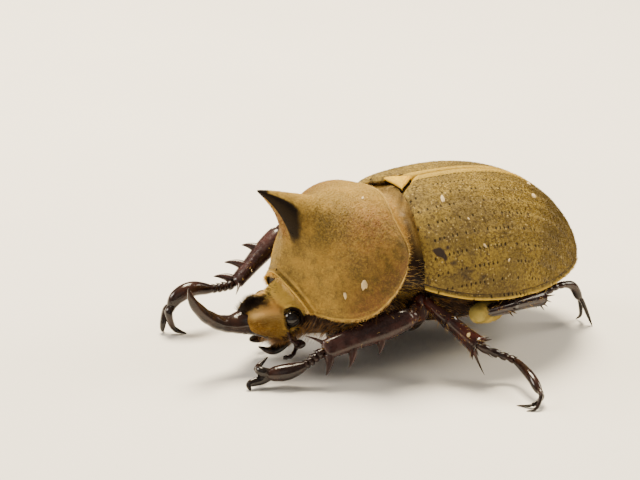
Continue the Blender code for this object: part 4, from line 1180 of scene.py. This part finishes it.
def body_fur(torso, fold, keel, head_parts, gold, amber):
    """Golden fur on the neck, darker fur on the flanks, the keel and the throat."""
    x, y, z = (torso[0][..., k] for k in range(3))
    coat = Coat()
    before = BASE_EDGE(np.clip(np.abs(x), 0, ELYTRA_HALF_BASE)) - y
    fur(coat, *torso, 8000, 0.75, 0.022, ease(before, 0.9, 1.5) * ease(z, 15.5, 20), lift=0.35)
    low_neck = ease(-y, 4, 5) * ease(z, 7, 9) * ease(-z, -17, -15)
    fur(coat, *torso, 900, 1.1, 0.024, low_neck, lift=1.0)
    fur(coat, *fold, 2600, 0.7, 0.022, lift=0.35)
    coat.done("fur_neck", gold, "velvet_pale")

    coat = Coat()
    flank = ease(MARGIN(y) - z, 0.5, 2.0) * fade(y, 9, 14) * ease(np.abs(x), 4.0, 8.0)
    fur(coat, *torso, 2600, 0.9, 0.024, flank, lift=0.8)
    low = 0.15 + ease(np.abs(np.linspace(0, 1, keel.shape[1]) - 0.5), 0.5, 0.28)
    out = grid_normals(keel)
    out = out * np.sign((out * (keel - keel.mean((0, 1)))).sum())
    fur(coat, keel, out, 1300, 1.6, 0.026, np.broadcast_to(low, keel.shape[:2]), (0.2, -0.6, -0.8), 0.9)
    (skin, up, *_), parts = head_parts
    throat = parts["under"] * ease(skin[..., 1], -26.0, -24.5) + BALD
    fur(coat, skin, up, 1500, 1.2, 0.03, throat, (0, -0.5, -1), 0.8)
    coat.done("fur_under", amber, "belly")


def head_fur(head_parts, gold, black):
    (skin, up, *_), parts = head_parts
    for name, count, long, wide, part, away, lift, finish, slot in (
        ("fringe_head", 1800, 0.8, 0.022, "ring", (0, 1, 0.3), 0.8, gold, "velvet_pale"),
        ("crest_head", 1500, 0.75, 0.03, "crest", (0, -1, 0.2), 1.0, black, "chitin"),
    ):
        coat = Coat()
        fur(coat, skin, up, count, long, wide, parts[part] + BALD, away, lift)
        coat.done(name, finish, slot)


def leg_hairs(gold, amber):
    """Pile on the hind thighs, bristles on the other joints."""
    coat, stiff = Coat(), Coat()
    for k, (path, half_out, half_up, outward, kind, slot) in enumerate(BRISTLES):
        grid, normal = tube_grid(path, half_out, half_up, outward)
        along = unit(path[-1] - path[0])
        if slot == "velvet" and kind == "thigh":
            skin = (grid, normal, paint(0 * grid[..., 0]), unwrap(grid), VELVET_LEG, "velvet")
            pile("pile_thigh_%d" % k, skin, 7000, 0.5, 0.035, 0.5)
        elif kind == "thigh":
            fur(coat, grid, normal, 110, 0.8, 0.022, None, along, 0.8)
        else:
            fur(stiff, grid, normal, 26 if k < 4 else 120, 0.95, 0.024, None, along, 1.1, 0.1)
    coat.done("bristles_thighs", amber, "chitin")
    stiff.done("bristles_shins", gold, "chitin_red")


def coats(shell, cases, shield, torso, fold, keel, head_parts):
    gold = hair_finish("hair_gold", (0.46, 0.27, 0.05), (0.74, 0.50, 0.14))
    amber = hair_finish("hair_amber", (0.08, 0.030, 0.010), (0.42, 0.21, 0.04))
    black = hair_finish("hair_black", (0.010, 0.007, 0.006), (0.028, 0.018, 0.012), 0.3)
    piles(shell, cases, shield, head_parts)
    pronotum_fringe(shell, gold)
    body_fur(torso, fold, keel, head_parts, gold, amber)
    head_fur(head_parts, gold, black)
    leg_hairs(gold, amber)


# ---- camera, floor and light
LAMPS = (  # name, place in metres, size, watts, colour
    ("key", (-0.24, 0.06, 0.58), 0.26, 15.5, (1.0, 0.86, 0.63)),
    ("rim", (-0.30, -0.40, 0.30), 0.25, 4.0, (1.0, 0.92, 0.80)),
    ("tail", (0.14, 0.50, 0.36), 0.30, 4.4, (1.0, 0.90, 0.72)),
    ("fill", (0.55, -0.45, 0.40), 0.6, 0.7, (1.0, 0.93, 0.84)),
)
LIT_POINT = Vector((0, 0, 0.01))
WORLD_COLOUR, WORLD_STRENGTH = (0.95, 0.93, 0.90, 1), 0.22
CAMERA_SPOT = (235.6, -163.0, 119.7)
CAMERA_RIGHT, CAMERA_BACK = (0.5112, 0.8579, 0.0524), (0.7968, -0.4959, 0.3453)
FILM_MM, LENS_MM = 36, 109.96875


def stage():
    scene = bpy.context.scene
    bpy.ops.mesh.primitive_plane_add(size=6, location=(0, 0, 0))
    floor = bpy.context.object
    floor.name = "floor"
    f = Finish("floor", Roughness=0.75, Specular_IOR_Level=0.2)
    floor.data.materials.append(f.end(f.mix(f.noise(0.02, 3), (0.72, 0.69, 0.64), (0.78, 0.75, 0.70))))

    for name, where, size, power, colour in LAMPS:
        lamp = bpy.data.lights.new(name, "AREA")
        lamp.size, lamp.energy, lamp.color = size, power, colour
        obj = bpy.data.objects.new(name, lamp)
        obj.location = where
        obj.rotation_euler = (LIT_POINT - Vector(where)).to_track_quat("-Z", "Y").to_euler()
        scene.collection.objects.link(obj)
    world = bpy.data.worlds.new("studio")
    world.use_nodes = True
    sky = world.node_tree.nodes["Background"].inputs
    sky[0].default_value, sky[1].default_value = WORLD_COLOUR, WORLD_STRENGTH
    scene.world = world

    camera = bpy.data.cameras.new("camera")
    camera.lens, camera.sensor_width = LENS_MM, FILM_MM
    camera.clip_start, camera.clip_end = 0.01, 10
    obj = bpy.data.objects.new("camera", camera)
    right, back = unit(CAMERA_RIGHT), unit(CAMERA_BACK)
    up = unit(np.cross(back, right))
    right = np.cross(up, back)
    spot = place(CAMERA_SPOT)[0]
    obj.matrix_world = Matrix([(right[i], up[i], back[i], spot[i]) for i in range(3)] + [(0, 0, 0, 1)])
    scene.collection.objects.link(obj)
    scene.camera = obj


CHITIN = {
    "dark": chitin("chitin_dark", (0.012, 0.006, 0.005), (0.030, 0.012, 0.008), 0.16),
    "satin": chitin("chitin_satin", (0.020, 0.009, 0.008), (0.048, 0.020, 0.017), 0.24),
    "red": chitin("chitin_red", (0.014, 0.005, 0.004), (0.045, 0.011, 0.007), 0.16),
    "black": chitin("chitin_black", (0.010, 0.007, 0.006), (0.028, 0.013, 0.009), 0.16, 0.5, 0.05),
    "belly": chitin("chitin_belly", (0.012, 0.006, 0.004), (0.030, 0.014, 0.007), 0.42, 0.5, 0.5),
    "eye": chitin("eye", (0.008, 0.006, 0.005), (0.014, 0.010, 0.008), 0.08, 0.2),
}
VELVET_LEG = velvet_plain("velvet_leg", (0.42, 0.32, 0.08), (0.80, 0.64, 0.18))
MIDDLE_SHIN = 5  # its place in BRISTLES

stage()
shell = pronotum()
cases = elytra()
shield = scutellum()
torso = body()
keel = chest()
collar(shell)
fold = hind_fold(shell, torso)
face = head()
legs()
coats(shell, cases, shield, torso, fold, keel, face)
flakes(shell, cases["left"], tube_grid(*BRISTLES[MIDDLE_SHIN][:4]))
